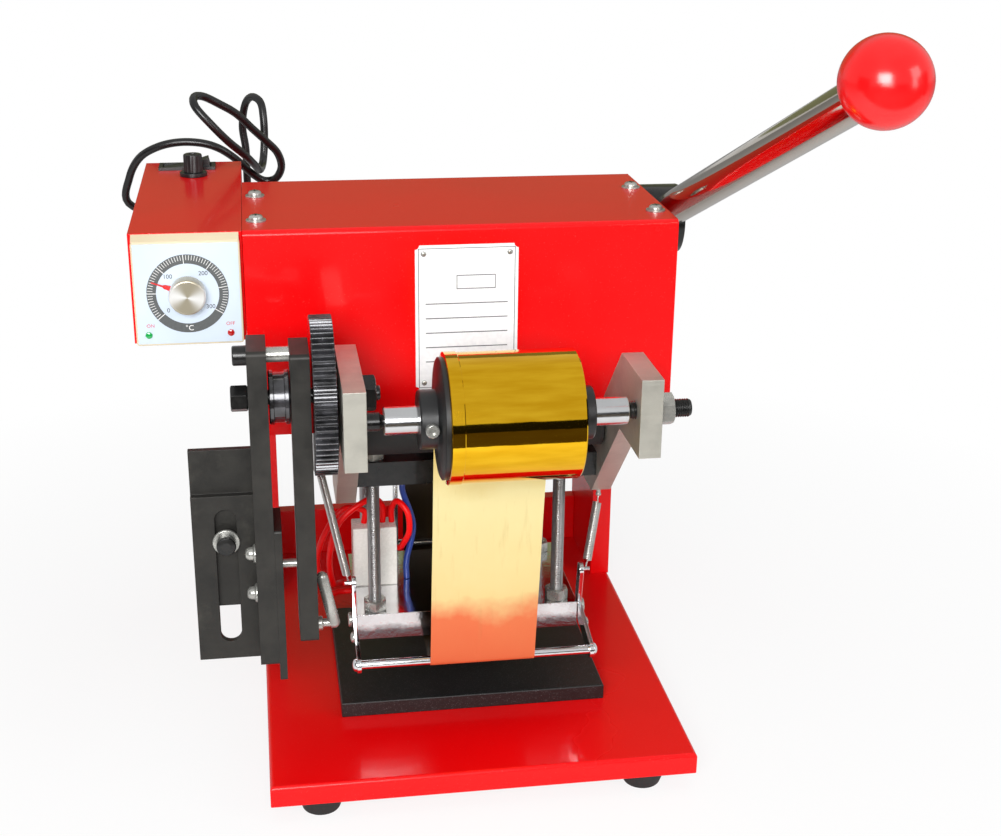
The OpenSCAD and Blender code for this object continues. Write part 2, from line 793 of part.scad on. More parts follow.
module head_fasteners() {
  color(steel) place() {
    bracket_bolts([bl_x0 - bolt_head, bl_x0], bolt_head_r);
    bracket_bolts([bl_x0 - 1, head_x0 + bolt_len], bolt_r);
    bracket_bolts([br_x1, br_x1 + bolt_head], bolt_head_r);
    bracket_bolts([head_x1 - bolt_len, br_x1 + 1], bolt_r);
    at_studs() for (z = [heater_top, head_top])
      znut(0, 0, [z, z + nut_h], nut_r, stud_d / 2 + fit);
    xnut([head_x0, head_x0 + stub_nut], gear_y, gear_z, stub_nut_r, stub_r + fit);
    xnut([br_x1, br_x1 + pivot_nut], foil_y, foil_z, pivot_nut_r, pivot_screw_r + fit);
    xcyl([bl_x0 - left_pin_len, bl_x0], left_pin[0], left_pin[1], left_pin_r);
    zcyl(right_pin[0], right_pin[1], [bracket_foot - right_pin_len, bracket_foot], pin_r);
    for (side = [0, 1]) mirror([side, 0, 0]) {
      xcyl([heater_x - pivot_in, link_x1 + link_play + 1], pivot_y, pivot_z, pivot_r);
      xcyl([link_x1 + link_play, link_x1 + link_play + pivot_head], pivot_y, pivot_z, pivot_head_r);
    }
  }
}
module studs() {
  color(steel) place() at_studs() zcyl(0, 0, [stud_foot, stud_top], stud_d / 2);
}
module heater_plate() {
  color(steel) place() difference() {
    block([-heater_x, heater_x], [heater_y0, heater_y0 + heater_d], [heater_z, heater_top]);
    at_studs() zcyl(0, 0, [stud_foot, heater_top + 1], stud_d / 2 + fit);
    for (side = [0, 1]) mirror([side, 0, 0])
      xcyl([heater_x - pivot_in, heater_x + 1], pivot_y, pivot_z, pivot_r + press);
  }
}
block_in = 1;
block_w = 33;
block_x = [-heater_x + block_in, -heater_x + block_in + block_w];
block_y = [0, 20];
block_h = 48;
block_top = heater_top + block_h;
module terminal_block() {
  color("white") place() block(block_x, block_y, [heater_top, block_top]);
}
// Leads between the terminal block and the heater, as steps from the block's top or the heater's edge
lead_r = 2.3;
lead_clear = 0.5;
lead_in = [-heater_x - lead_clear, 0, heater_top - 10];
lead_out = [block_x[0], 10, block_top + lead_clear];
leads = [
  [lead_out + [9, 0, 0], lead_out + [9, 0, 10], lead_out + [-6, -8, 16], lead_out + [-20, -12, 0],
    lead_out + [-27, -8, -26], lead_in + [-20, 6, 4], lead_in + [-8, 14, 0], lead_in + [0, 14, 0]],
  [lead_out + [23, 0, 0], lead_out + [23, 0, 14], lead_out + [12, -12, 24], lead_out + [-10, -18, 10],
    lead_out + [-18, -16, -18], lead_in + [-14, 10, 10], lead_in + [-8, 28, 0], lead_in + [0, 28, 0]],
  [lead_out + [30, 0, 0], lead_out + [30, -1, 11], lead_out + [34, -6, 19], lead_out + [41, -12, 12],
    lead_out + [42, -13, -3], lead_out + [38, -5, -17], lead_out + [36, 0, -22],
    lead_out + [block_w + lead_clear, 0, -22]],
  [[-40, 10, heater_top + lead_clear], [-40, 10, heater_top + 16], [-35, 7, heater_top + 46],
    [-43, 6, heater_top + 76], [-40, 10, head_z - 16], [-40, 10, head_z - lead_clear]]];
module heater_leads() {
  color("red") place()
    for (p = leads)
      tube(smooth(p, 4), lead_r, 8, [0, 1, 0]);
}
tip_gap = 1.6;
tip_clear = 2;
pivot_out = 22;
module foil_pivot_screws() {
  color(steel) place() {
    xcyl([bl_x0, foil_shaft_x0 - tip_gap], foil_y, foil_z, pivot_screw_r);
    xcyl([foil_shaft_x0 - tip_gap - 1, foil_shaft_x0 + tip_in - tip_clear], foil_y, foil_z, tip_r);
    xcyl([foil_shaft_x1 + tip_gap, br_x1 + pivot_out], foil_y, foil_z, pivot_screw_r);
    xcyl([foil_shaft_x1 - tip_in + tip_clear, foil_shaft_x1 + tip_gap + 1], foil_y, foil_z, tip_r);
  }
}
stub_out = 3;
module gear_stub_shaft() {
  color(black) place() {
    xcyl([outer_x0 - 1, head_x0 + stub_nut + stub_out], gear_y, gear_z, stub_r);
    xhead([outer_x0 - gap - stub_head, outer_x0 - gap], gear_y, gear_z, nut_r);
  }
}
module rear_guide_frame() {
  color(steel) place() {
    for (x = [rear_x0, rear_x1 - rear_strip_t])
      block([x, x + rear_strip_t], [rear_y0, rear_y0 + rear_strip_d],
        [rear_low_z - rear_strip_end[0], rear_high_z + rear_strip_end[1]]);
    for (z = [rear_low_z, rear_high_z])
      xcyl([rear_x0 + 1, rear_x1 - 1], rear_rod_y, z, guide_r);
  }
}
return_wall = 1.4;
module return_springs() {
  color("gray") place()
    for (x = [-return_x, return_x])
      difference() {
        zcyl(x, spring_bar_y, [head_top + gap, spring_bar_z - spring_bar_r - gap], return_r);
        zcyl(x, spring_bar_y, [head_top, spring_bar_z], return_r - return_wall);
      }
}

// Tension springs: one wire each, straight at both ends and wound between
wire_r = 0.55;
left_coil_r = 2.45;
right_coil_r = 2.9;
hook = 5;
curl_steps = 8;
function spring_path(a, b, curls, coil_r) =
  let (k = unit(b - a), e = unit(cross(k, [1, 0, 0])), f = cross(k, e), wound = norm(b - a) - 2 * hook)
  concat([a, a + k * hook * 0.5],
    [for (i = [0:curls * curl_steps])
      a + k * (hook + wound * i / (curls * curl_steps))
        + coil_r * (cos(360 * i / curl_steps) * e + sin(360 * i / curl_steps) * f)],
    [b - k * hook * 0.5, b]);
curls_left = 44;
curls_right = 28;
spring_end = pin_r + gap;
hang_in = 2.5;
hang_x = link_x1 + hang_in;
left_hang = 11.5;
left_path = spring_path([bl_x0 - left_hang, left_pin[0], left_pin[1] - left_pin_r - gap],
  [-hang_x, link_top_y, link_top_z + spring_end], curls_left, left_coil_r);
right_path = spring_path([right_pin[0], right_pin[1], bracket_foot - right_pin_len - gap],
  [hang_x, link_top_y, link_top_z + spring_end], curls_right, right_coil_r);
echo(str("left spring gap ", self_gap(left_path, wire_r, curl_steps - 1)));
echo(str("right spring gap ", self_gap(right_path, wire_r, curl_steps - 1)));
module tension_spring_left() { color(steel) place() tube(left_path, wire_r, 6, [1, 0, 0]); }
module tension_spring_right() { color(steel) place() tube(right_path, wire_r, 6, [1, 0, 0]); }

// Foil strip: from the roll, under the guide rod and the heater, up the rear frame, to the take-up roller
strip_x = [roll_x0, roll_x0 + strip_w];
function right_of(d) = [d[1], -d[0]];
function heading(a) = [cos(a), sin(a)];
function bearing(v) = atan2(v[1], v[0]);
lap = gap + strip_t / 2;
roll_c = [foil_y, foil_z];
roll_lap = roll_d / 2 + lap;
rods_c = [[rod_y, rod_z], [rear_rod_y, rear_low_z], [rear_rod_y, rear_high_z]];
rod_lap = guide_r + lap;
take_c = [take_y, take_z];
take_lap = take_up_d / 2 + lap;
into = rods_c[0] - roll_c;
a_in = bearing(into) - asin((roll_lap + rod_lap) / norm(into));
a_under = bearing(rods_c[1] - rods_c[0]);
a_up = bearing(rods_c[2] - rods_c[1]);
onto = take_c - rods_c[2];
a_out = bearing(onto) + asin((take_lap + rod_lap) / norm(onto));
turns = [a_in, a_under, a_up, a_out];
arc_steps = 6;
strip_path = concat([roll_c - roll_lap * right_of(heading(a_in))],
  [for (i = [0:2]) for (s = [0:arc_steps])
    rods_c[i] + rod_lap * right_of(heading(turns[i] + (turns[i + 1] - turns[i]) * s / arc_steps))],
  [take_c - take_lap * right_of(heading(a_out))]);
function strip_side(p, off) = let (n = len(p)) [for (i = [0:n - 1])
  p[i] + off * right_of(unit(p[min(i + 1, n - 1)] - p[max(i - 1, 0)]))];
module foil_strip() {
  edge = strip_side(strip_path, strip_t / 2);
  back = strip_side(strip_path, -strip_t / 2);
  color("gold") place() side_profile(strip_x)
    polygon(concat(edge, [for (i = [len(back) - 1:-1:0]) back[i]]));
}

// Foil roll on its shaft

module foil_shaft() {
  color(steel) place() difference() {
    xcyl([foil_shaft_x0, foil_shaft_x1], foil_y, foil_z, foil_shaft_d / 2);
    xcyl([foil_shaft_x0 - 1, foil_shaft_x0 + tip_in], foil_y, foil_z, tip_r + fit);
    xcyl([foil_shaft_x1 - tip_in, foil_shaft_x1 + 1], foil_y, foil_z, tip_r + fit);
  }
}
collar_r = 19;
flange_in = 3.3;
core_in = 20;
set_screw_x = 7;
set_screw_r = 4.5;
set_screw_out = 4;
module foil_collars() {
  color(black) place() difference() {
    union() {
      xcyl([collar_x0, roll_x0 - 1], foil_y, foil_z, collar_r);
      xcyl([roll_x0 - flange_t, roll_x0], foil_y, foil_z, roll_d / 2 - flange_in);
      xcyl([roll_x0 - 1, roll_x0 + core_in], foil_y, foil_z, core_r);
      ycyl(collar_x0 + set_screw_x, [foil_y - collar_r - set_screw_out, foil_y - collar_r + 2], foil_z,
        set_screw_r);
      xcyl([roll_x1, collar_x1], foil_y, foil_z, collar_r);
      xcyl([roll_x1 - core_in, roll_x1 + 1], foil_y, foil_z, core_r);
    }
    xcyl([collar_x0 - 1, collar_x1 + 1], foil_y, foil_z, foil_shaft_d / 2 + press);
  }
}
module foil_roll() {
  color("gold") place() difference() {
    xcyl([roll_x0, roll_x1], foil_y, foil_z, roll_d / 2);
    xcyl([roll_x0 - 1, roll_x1 + 1], foil_y, foil_z, core_r + fit);
  }
}

// Foil feed gears and arm

module feed_gear() {
  color(black) place() difference() {
    translate([0, gear_y, gear_z])
      side_profile([gear_x0, gear_x1]) polygon(gear_outline(feed_module, teeth_feed, mesh_angle));
    xcyl([gear_x0 - 1, gear_x1 + 1], gear_y, gear_z, stub_r + fit);
  }
}
roller_end = 1.5;
module take_up_roller() {
  color(steel) place() {
    translate([0, take_y, take_z]) side_profile([gear_x0, gear_x1])
      polygon(gear_outline(feed_module, teeth_take_up, mesh_angle + 180 + 180 / teeth_take_up));
    xcyl([gear_x1 - 1, br_x1], take_y, take_z, take_journal);
    xcyl([head_x0 + roller_end, head_x1 - roller_end], take_y, take_z, take_up_d / 2);
  }
}
arm_corner = 3;
module arm_plate(x, z) {
  difference() {
    side_profile(x) rounded(arm_y, z, arm_corner);
    xcyl([x[0] - 1, x[1] + 1], gear_y, gear_z, stub_r + fit);
    xcyl([x[0] - 1, x[1] + 1], gear_y, tie_z, tie_r + press);
  }
}
arm_reach = 184;
arm_low = gear_z - arm_reach;
thin_z = [arm_low - 12, arm_low + 99];
thin_corner = 2;
inner_z = [arm_low + 16, arm_top - 3];
module arm_side_plates() {
  color(dark) place() {
    arm_plate([outer_x0, outer_x1], [arm_low, arm_top]);
    side_profile([outer_x1 + press, thin_x1]) rounded(arm_y, thin_z, thin_corner);
  }
}
module arm_inner_plate() {
  color(dark) place() arm_plate([inner_x0, inner_x1], inner_z);
}
module clutch_drum() {
  color("dimgray") place() difference() {
    xcyl([drum_x0, drum_x1], gear_y, gear_z, drum_r);
    xcyl([drum_x0 - 1, drum_x1 + 1], gear_y, gear_z, stub_r + fit);
  }
}
slot_out = 19;
slot_x = outer_x0 - slot_out;
slot_w = 14;
slot_flat = 0.1;
slot_z = [arm_low + 8, arm_low + 106];
cap_z = arm_low + 83;
bracket_w = 41;
bracket_z = [arm_low - 5, arm_low + 116];
back_z = [arm_low + 33, arm_low + 147];
bracket_sheet = 5;
back_y1 = gear_y + 2 * bracket_sheet;
cap_r = 4;
cap_flange = 2;
cap_head = 9;
cap_head_r = 6.5;
cap_nut = 6;
cap_end = 7;
tie_head_r = 6.5;
spacer_z = arm_low + 64.5;
spacer_r = 3;
flange_bolt_y = gear_y - 10;
flange_bolt_z = [arm_low + 49, arm_low + 78];
flange_bolt_r = [6.5, 5];
flange_bolt_h = [2, 7];
// A stay leans on the inner plate's right face, and a pin holds its foot out from the plate
stay_y = gear_y + 5;
stay_z = [arm_low + 15, arm_low + 50];
stay_out = 11.5;
stay_r = 4;
stay_pin_r = 3;
module arm_bolts() {
  color(steel) place() {
    xcyl([outer_x0 - 1, inner_x1], gear_y, tie_z, tie_r);
    xcyl([outer_x0 - tie_head, outer_x0], gear_y, tie_z, tie_head_r);
    xcyl([thin_x1, inner_x0], gear_y, spacer_z, spacer_r);
    for (z = flange_bolt_z) {
      xcyl([outer_x0 - flange_bolt_h[0], outer_x0], flange_bolt_y, z, flange_bolt_r[0]);
      xhead([outer_x0 - flange_bolt_h[1], outer_x0 - 1], flange_bolt_y, z, flange_bolt_r[1]);
    }
    front_profile([stay_y - stay_r, stay_y + stay_r])
      bar([inner_x1 + stay_r + press, stay_z[1]], [inner_x1 + stay_out, stay_z[0]], stay_r);
    xcyl([inner_x1 + press, inner_x1 + stay_out], stay_y, stay_z[0], stay_pin_r);
    ycyl(slot_x, [gear_y - cap_flange, gear_y], cap_z, slot_w / 2 + cap_flange);
    ycyl(slot_x, [gear_y - cap_head, gear_y - 1], cap_z, cap_head_r);
    ycyl(slot_x, [gear_y - cap_flange - 1, back_y1 + cap_end], cap_z, cap_r);
    ycyl(slot_x, [back_y1, back_y1 + cap_nut], cap_z, slot_w / 2 + cap_flange);
  }
}
module arm_bracket() {
  x0 = outer_x0 - bracket_w;
  color(black) place() {
    front_profile([gear_y, gear_y + bracket_sheet]) difference() {
      translate([x0, bracket_z[0]]) square([bracket_w, bracket_z[1] - bracket_z[0]]);
      rounded([slot_x - slot_w / 2, slot_x + slot_w / 2], slot_z, slot_w / 2 - slot_flat);
    }
    difference() {
      block([x0, outer_x0], [gear_y + bracket_sheet + press, back_y1], back_z);
      ycyl(slot_x, [gear_y, back_y1 + 1], cap_z, cap_r + press);
    }
  }
}

// Tension frame under the heater

module bar(a, b, r) {
  n = right_of(unit(b - a)) * r;
  polygon([a + n, b + n, b - n, a - n]);
  translate(a) circle(r);
  translate(b) circle(r);
}
link_half = [5, 6];
rod_out = 2;
module tension_links() {
  pivot = [pivot_y, pivot_z];
  color(steel) place()
    for (side = [0, 1]) mirror([side, 0, 0]) {
      difference() {
        side_profile([link_x0, link_x1]) {
          bar(pivot, [link_top_y, link_top_z], link_half[0]);
          bar(pivot, [rod_y, rod_z], link_half[1]);
        }
        xcyl([link_x0 - 1, link_x1 + 1], pivot_y, pivot_z, pivot_r + fit);
        xcyl([link_x0 - 1, link_x1 + 1], rod_y, rod_z, guide_r + press);
      }
      xcyl([link_x1 - 1, hang_x + hang_in], link_top_y, link_top_z, pin_r);
    }
}
module guide_rod() {
  color(steel) place() xcyl([-link_x1 - rod_out, link_x1 + rod_out], rod_y, rod_z, guide_r);
}

// Power cord, its coil behind the machine and its plug

cord_r = cord_d / 2;
cord_route = [[-205, 242, 322], [-206, 254, 322], [-216, 270, 325], [-249, 268, 341], [-245, 258, 365],
  [-235, 250, 383], [-219, 244, 393], [-201, 241, 397], [-183, 240, 396], [-169, 241, 391], [-156, 245, 381],
  [-145, 250, 369], [-134, 254, 361], [-124, 252, 363], [-119, 246, 374], [-122, 240, 387], [-131, 234, 398],
  [-142, 227, 410], [-154, 221, 423], [-167, 215, 432], [-179, 209, 439], [-186, 200, 440], [-185, 190, 434],
  [-174, 187, 421], [-161, 192, 406], [-149, 204, 393], [-141, 221, 381], [-137, 240, 373], [-134, 260, 376],
  [-132, 267, 393], [-132, 270, 411], [-134, 276, 423], [-141, 286, 426], [-147, 294, 418], [-150, 297, 399],
  [-148, 296, 379], [-148, 293, 350], [-146, 286, 316], [-142, 268, 270], [-142, 252, 210], [-142, 246, 150],
  [-141, 246, 90], [-134, 249, 44], [-112, 251, 14], [-80, 250, 6], [-40, 248, 5], [-20, 248, 5],
  [-2, 248, 5]];
gland_flange = 4;
gland_flange_r = 10;
gland_r = 8;
gland_wall = 1.6;
module cord_gland() {
  p = cord_route[0];
  cone_y = box_y1 + gland_flange - 1;
  color(black) place() {
    ycyl(p[0], [box_y1, box_y1 + gland_flange], p[2], gland_flange_r);
    translate([p[0], cone_y, p[2]]) rotate([-90, 0, 0])
      cylinder(r1 = gland_r, r2 = cord_r + gland_wall, h = p[1] - cone_y - gap);
  }
}
module power_cord() { color(black) place() tube(smooth(cord_route, 2), cord_r, 8, [0, 0, 1]); }
coil_step = cord_d + 1.4;
coil_turns = 1.75;
coil_out = 42;
coil_in = coil_out - coil_turns * coil_step;
cord_end = cord_route[len(cord_route) - 1];
coil_c = cord_end + [cord_d, coil_out, 0];
loop_steps = 24;
lead_len = 40;
function coil_radius(t) = t < coil_turns ? coil_out - coil_step * t
  : t < coil_turns + 0.5 ? coil_in : coil_in + coil_step * (t - coil_turns - 0.5);
function coil_rise(t) = coil_step * min(1, max(0, (t - coil_turns) / 0.5));
function coil_point(t) =
  coil_c + [coil_radius(t) * sin(360 * t), -coil_radius(t) * cos(360 * t), coil_rise(t)];
all_turns = 2 * coil_turns + 0.5;
coil_path = concat([cord_end], [for (i = [0:all_turns * loop_steps]) coil_point(i / loop_steps)],
  [coil_point(all_turns) + [lead_len, 0, 0]]);
echo(str("coil gap ", self_gap(coil_path, cord_r, loop_steps / 2)));
module cord_coil() { color(black) place() tube(coil_path, cord_r, 6, [0, 0, 1]); }
tie_sheet = 0.8;
tie_half = 4;
tie_reach = cord_r + 0.6;
tie_slack = 0.5;
module cord_tie() {
  x = [coil_c[0] + coil_in - tie_reach - tie_slack, coil_c[0] + coil_out + tie_reach];
  z = [coil_c[2] - tie_reach, coil_c[2] + coil_step + tie_reach];
  color("white") place() difference() {
    block([x[0] - tie_sheet, x[1] + tie_sheet], [coil_c[1] - tie_half, coil_c[1] + tie_half],
      [z[0] - tie_sheet, z[1] + tie_sheet]);
    block(x, [coil_c[1] - tie_half - 1, coil_c[1] + tie_half + 1], z);
  }
}
plug_r = 10.5;
plug_boot = 14;
plug_boot_wall = 1.2;
plug_taper = 2;
plug_end = 40;
prong_y = 4.5;
prong_end = 58;
prong_r = 2;
module power_plug() {
  p = coil_point(all_turns) + [lead_len, 0, 0];
  color(black) place() {
    translate(p) rotate([0, 90, 0])
      cylinder(r1 = cord_r + plug_boot_wall, r2 = plug_r - plug_taper, h = plug_boot);
    xcyl([p[0] + plug_boot - 1, p[0] + plug_end], p[1], p[2], plug_r);
    for (y = [-prong_y, prong_y])
      xcyl([p[0] + plug_end - 1, p[0] + prong_end], p[1] + y, p[2], prong_r);
  }
}

base_plate();
rubber_feet();
work_table();
side_plate_left();
side_plate_right();
rear_tie_plate();
rear_panel();
cover();
cabinet_fasteners();
nameplate();
column_guide();
shaft_bushes();
spring_bar();
control_box();
controller_case();
dial_ring();
indicator_lamps();
temperature_knob();
switch_housing();
switch_rocker();
fuse_holder();
fuse_cap();
cord_gland();
power_cord();
cord_coil();
cord_tie();
power_plug();
lever_shaft();
lever_pinions();
lever_hub();
lever_rod();
lever_ball();
rack_columns();
head_plate();
bracket_left();
bracket_right();
head_fasteners();
studs();
heater_plate();
terminal_block();
heater_leads();
foil_pivot_screws();
gear_stub_shaft();
rear_guide_frame();
return_springs();
tension_spring_left();
tension_spring_right();
foil_strip();
foil_shaft();
foil_collars();
foil_roll();
feed_gear();
take_up_roller();
arm_side_plates();
arm_inner_plate();
clutch_drum();
arm_bolts();
arm_bracket();
tension_links();
guide_rod();
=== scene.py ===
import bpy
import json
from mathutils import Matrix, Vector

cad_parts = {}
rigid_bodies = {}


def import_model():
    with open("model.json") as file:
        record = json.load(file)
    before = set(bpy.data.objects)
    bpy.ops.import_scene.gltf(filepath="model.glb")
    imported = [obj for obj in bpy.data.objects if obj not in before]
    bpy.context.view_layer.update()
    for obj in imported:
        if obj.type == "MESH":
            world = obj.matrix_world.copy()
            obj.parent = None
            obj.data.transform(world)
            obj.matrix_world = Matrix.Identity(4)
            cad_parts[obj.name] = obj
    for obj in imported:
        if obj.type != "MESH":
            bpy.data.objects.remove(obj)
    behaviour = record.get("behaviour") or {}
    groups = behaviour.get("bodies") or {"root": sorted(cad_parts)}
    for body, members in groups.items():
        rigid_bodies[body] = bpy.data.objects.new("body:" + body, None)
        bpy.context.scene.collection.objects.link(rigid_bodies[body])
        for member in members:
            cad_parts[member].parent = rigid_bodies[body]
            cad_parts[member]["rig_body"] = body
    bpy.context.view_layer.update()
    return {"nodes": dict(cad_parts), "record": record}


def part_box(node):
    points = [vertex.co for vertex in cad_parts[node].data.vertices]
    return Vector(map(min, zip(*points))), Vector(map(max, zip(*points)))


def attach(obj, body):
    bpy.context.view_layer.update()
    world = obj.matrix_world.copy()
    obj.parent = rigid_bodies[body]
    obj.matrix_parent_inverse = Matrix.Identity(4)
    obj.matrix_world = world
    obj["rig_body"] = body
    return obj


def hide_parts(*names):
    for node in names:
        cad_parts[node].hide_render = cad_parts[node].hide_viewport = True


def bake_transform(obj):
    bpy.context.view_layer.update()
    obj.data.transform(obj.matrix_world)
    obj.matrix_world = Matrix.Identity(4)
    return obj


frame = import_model()

import json
import math

import bmesh
import bpy
from bpy.props import FloatProperty, FloatVectorProperty, IntProperty, PointerProperty
from bpy.types import Operator, Panel, PropertyGroup
from mathutils import Matrix, Vector

bl_info = {
    "name": "Hot foil stamping machine",
    "version": (1, 0, 0),
    "blender": (4, 5, 0),
    "location": "View3D > Sidebar > Foil press",
    "description": "Dresses a bench-top hot foil stamping machine with its finishes and fine pieces",
    "category": "Object",
}

# The machine's own lines: x from its middle, y from the head's reference line, millimetres

MM = 0.001
BASE_FRONT = 150 * MM
BASE_LOW, BASE_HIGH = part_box("base_plate")
MACHINE = Vector(((BASE_LOW[0] + BASE_HIGH[0]) / 2, BASE_LOW[1] + BASE_FRONT, 0))
LEFT, RIGHT = (-1, 0, 0), (1, 0, 0)
FRONT, BACK = (0, -1, 0), (0, 1, 0)
DOWN, UP = (0, 0, -1), (0, 0, 1)

# Radius, in millimetres, at which a turned profile ends on its axis
TIP = 0.01

# Degrees up to which the skin of a wire and the edges of threads and small screws stay smooth
WIRE_SMOOTH, SCREW_SMOOTH = 60, 40


def at(x, y, z):
    """A point of the machine's own lines, in millimetres, as metres in the shared frame"""
    return MACHINE + Vector((x, y, z)) * MM


def low_of(node):
    return Vector(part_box(node)[0])


def high_of(node):
    return Vector(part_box(node)[1])


def middle(node):
    return (low_of(node) + high_of(node)) / 2


def extent(node):
    """Size of a node's box, in millimetres"""
    return (high_of(node) - low_of(node)) / MM


def foot_of(node, axis):
    """Middle of the low side of a node's box across one axis"""
    spot = middle(node)
    spot[axis] = low_of(node)[axis]
    return spot


# Finishes as sums over a surface


def sum_of(operation, swapped=False):
    """What a sum between two values adds to their finish"""

    def add(first, second):
        pair = (second, first) if swapped else (first, second)
        return first.finish.maths(operation, *pair)

    return add


class Field:
    """A value over a surface, which sums turn into further values"""
    __add__ = sum_of("ADD")
    __sub__ = sum_of("SUBTRACT")
    __rsub__ = sum_of("SUBTRACT", True)
    __mul__ = sum_of("MULTIPLY")
    __truediv__ = sum_of("DIVIDE")
    __pow__ = sum_of("POWER")
    __gt__ = sum_of("GREATER_THAN")
    __lt__ = sum_of("LESS_THAN")

    def __init__(self, finish, socket):
        self.finish = finish
        self.socket = socket


class Finish:
    """One procedural finish, of a surface or of the sky"""

    def __init__(self, name, kind="materials"):
        self.data = getattr(bpy.data, kind).new(name)
        self.data.use_nodes = True
        self.tree = self.data.node_tree
        self.tree.nodes.clear()

    def node(self, kind, settings=None, inputs=None, out=0):
        made = self.tree.nodes.new(kind)
        for key, value in (settings or {}).items():
            if key == "stops":
                self.set_stops(made.color_ramp.elements, value)
            else:
                setattr(made, key, value)
        for key, value in (inputs or {}).items():
            self.feed(made.inputs[key], value)
        return Field(self, made.outputs[out])

    def set_stops(self, ramp, stops):
        while len(ramp) < len(stops):
            ramp.new(0.5)
        for stop, (place, shade) in zip(ramp, stops):
            stop.position = place
            stop.color = (*shade, 1)

    def feed(self, socket, value):
        if isinstance(value, Field):
            self.tree.links.new(value.socket, socket)
        elif isinstance(value, tuple) and socket.type == "RGBA":
            socket.default_value = (*value, 1)
        else:
            socket.default_value = value

    def maths(self, operation, first, second=0.0):
        return self.node("ShaderNodeMath", {"operation": operation}, {0: first, 1: second})

    def noise(self, scale, detail=3, rough=0.5, stretch=(1, 1, 1)):
        spot = self.node("ShaderNodeTexCoord", out="Object")
        spot = self.node("ShaderNodeMapping", inputs={"Vector": spot, "Scale": stretch})
        return self.node("ShaderNodeTexNoise", inputs={
            "Vector": spot, "Scale": scale, "Detail": detail, "Roughness": rough}, out="Fac")

    def axis(self, name):
        spot = self.node("ShaderNodeTexCoord", out="Object")
        return self.node("ShaderNodeSeparateXYZ", inputs={0: spot}, out=name)

    def span(self, value, low, high):
        return self.node("ShaderNodeMapRange", {"clamp": True}, {0: value, 1: low, 2: high, 3: 0.0, 4: 1.0})

    def patches(self, scale, detail, rough, low, high):
        """Noise that is cut off below low and full above high"""
        return self.span(self.noise(scale, detail, rough), low, high)

    def ramp(self, value, stops):
        return self.node("ShaderNodeValToRGB", {"stops": stops}, {0: value}, out="Color")

    def mix(self, factor, first, second):
        return self.node("ShaderNodeMix", {"data_type": "RGBA"}, {0: factor, 6: first, 7: second}, out=2)

    def bump(self, height, distance, strength=1.0):
        return self.node("ShaderNodeBump", inputs={
            "Height": height, "Distance": distance, "Strength": strength})

    def edge(self, radius):
        return self.node("ShaderNodeBevel", {"samples": 4}, {"Radius": radius})

    def relief(self, height, distance, radius, strength=1.0):
        """Fine relief over softened edges"""
        return self.node("ShaderNodeBump", inputs={
            "Height": height, "Distance": distance, "Strength": strength, "Normal": self.edge(radius)})

    def surface(self, **sockets):
        names = {}
        for key, value in sockets.items():
            names[key.replace("_", " ").title().replace("Ior", "IOR")] = value
        return self.end("ShaderNodeOutputMaterial", self.node("ShaderNodeBsdfPrincipled", inputs=names))

    def end(self, kind, shader):
        made = self.tree.nodes.new(kind)
        self.tree.links.new(shader.socket, made.inputs["Surface"])
        return self.data


def srgb(red, green, blue):
    """Linear colour from the usual 0 to 255 values"""
    shares = (red / 255, green / 255, blue / 255)
    return tuple(((c + 0.055) / 1.055) ** 2.4 if c > 0.04 else c / 12.92 for c in shares)


def darker(share, shade):
    return tuple(share * c for c in shade)


# Finishes


def red_enamel():
    f = Finish("red enamel")
    cloud = f.noise(14, 2)
    drops = f.noise(420, 2)
    dust = f.span(f.noise(900, 1), 0.70, 0.74)
    colour = f.mix(cloud, srgb(220, 3, 7), srgb(232, 5, 9))
    colour = f.mix(dust * 0.15, colour, srgb(225, 120, 110))
    return f.surface(base_color=colour, roughness=cloud * 0.08 + 0.22, specular_ior_level=0.22,
                     coat_weight=0.16, coat_roughness=0.06,
                     normal=f.relief(drops, 0.00002, 0.0008))


def speckled_black():
    f = Finish("speckled black")
    grain = f.noise(700, 3, 0.7)
    wear = f.patches(60, 4, 0.7, 0.60, 0.80)
    # Light grey specks in the colour are painted highlights, the glints of the speckled top
    glint_speck = f.span(f.noise(1500, 1), 0.66, 0.70)
    colour = f.mix(wear * 0.4, srgb(21, 21, 21), srgb(46, 46, 46))
    colour = f.mix(glint_speck * 0.5, colour, srgb(120, 122, 124))
    return f.surface(base_color=colour, roughness=grain * 0.25 + 0.32, metallic=0.1,
                     normal=f.relief(grain, 0.00006, 0.0006))


def chrome(name, shade, rough):
    f = Finish(name)
    smear = f.patches(35, 4, 0.65, 0.35, 0.75)
    colour = f.mix(smear * 0.25, shade, darker(0.72, shade))
    return f.surface(base_color=colour, metallic=1.0, roughness=smear * 0.10 + rough, normal=f.edge(0.0005))


def scuffed_chrome():
    """Bright plate whose fine dents break up what it mirrors, its colour painted dark on the lower part as
    painted reflection
    """
    f = Finish("scuffed chrome")
    dents = f.noise(260, 4, 0.6)
    smear = f.patches(60, 5, 0.7, 0.4, 0.7)
    low, high = low_of("heater_plate").z, high_of("heater_plate").z
    tall = high - low
    rough_height = f.axis("Z") + f.noise(180, 4, 0.7) * 0.008 - 0.004
    # Painted reflection: the colour turns dark below a ragged band between 30 and 60 per cent of the plate's
    # height
    shine = f.span(rough_height, low + 0.3 * tall, low + 0.6 * tall)
    colour = f.mix(smear * 0.4, (0.82, 0.82, 0.84), (0.5, 0.49, 0.5))
    colour = f.mix(shine, (0.16, 0.15, 0.16), colour)
    return f.surface(base_color=colour, metallic=1.0, roughness=smear * 0.12 + 0.06,
                     normal=f.relief(dents, 0.00025, 0.0005, 0.45))


def turned_steel(name, shade, rough):
    f = Finish(name)
    lines = f.noise(60, 2, 0.6, (60, 1, 1))
    stain = f.patches(50, 4, 0.7, 0.5, 0.8)
    colour = f.mix(stain * 0.5, shade, darker(0.55, shade))
    return f.surface(base_color=colour, metallic=1.0, roughness=lines * 0.18 + rough,
                     normal=f.relief(lines, 0.00003, 0.0005))


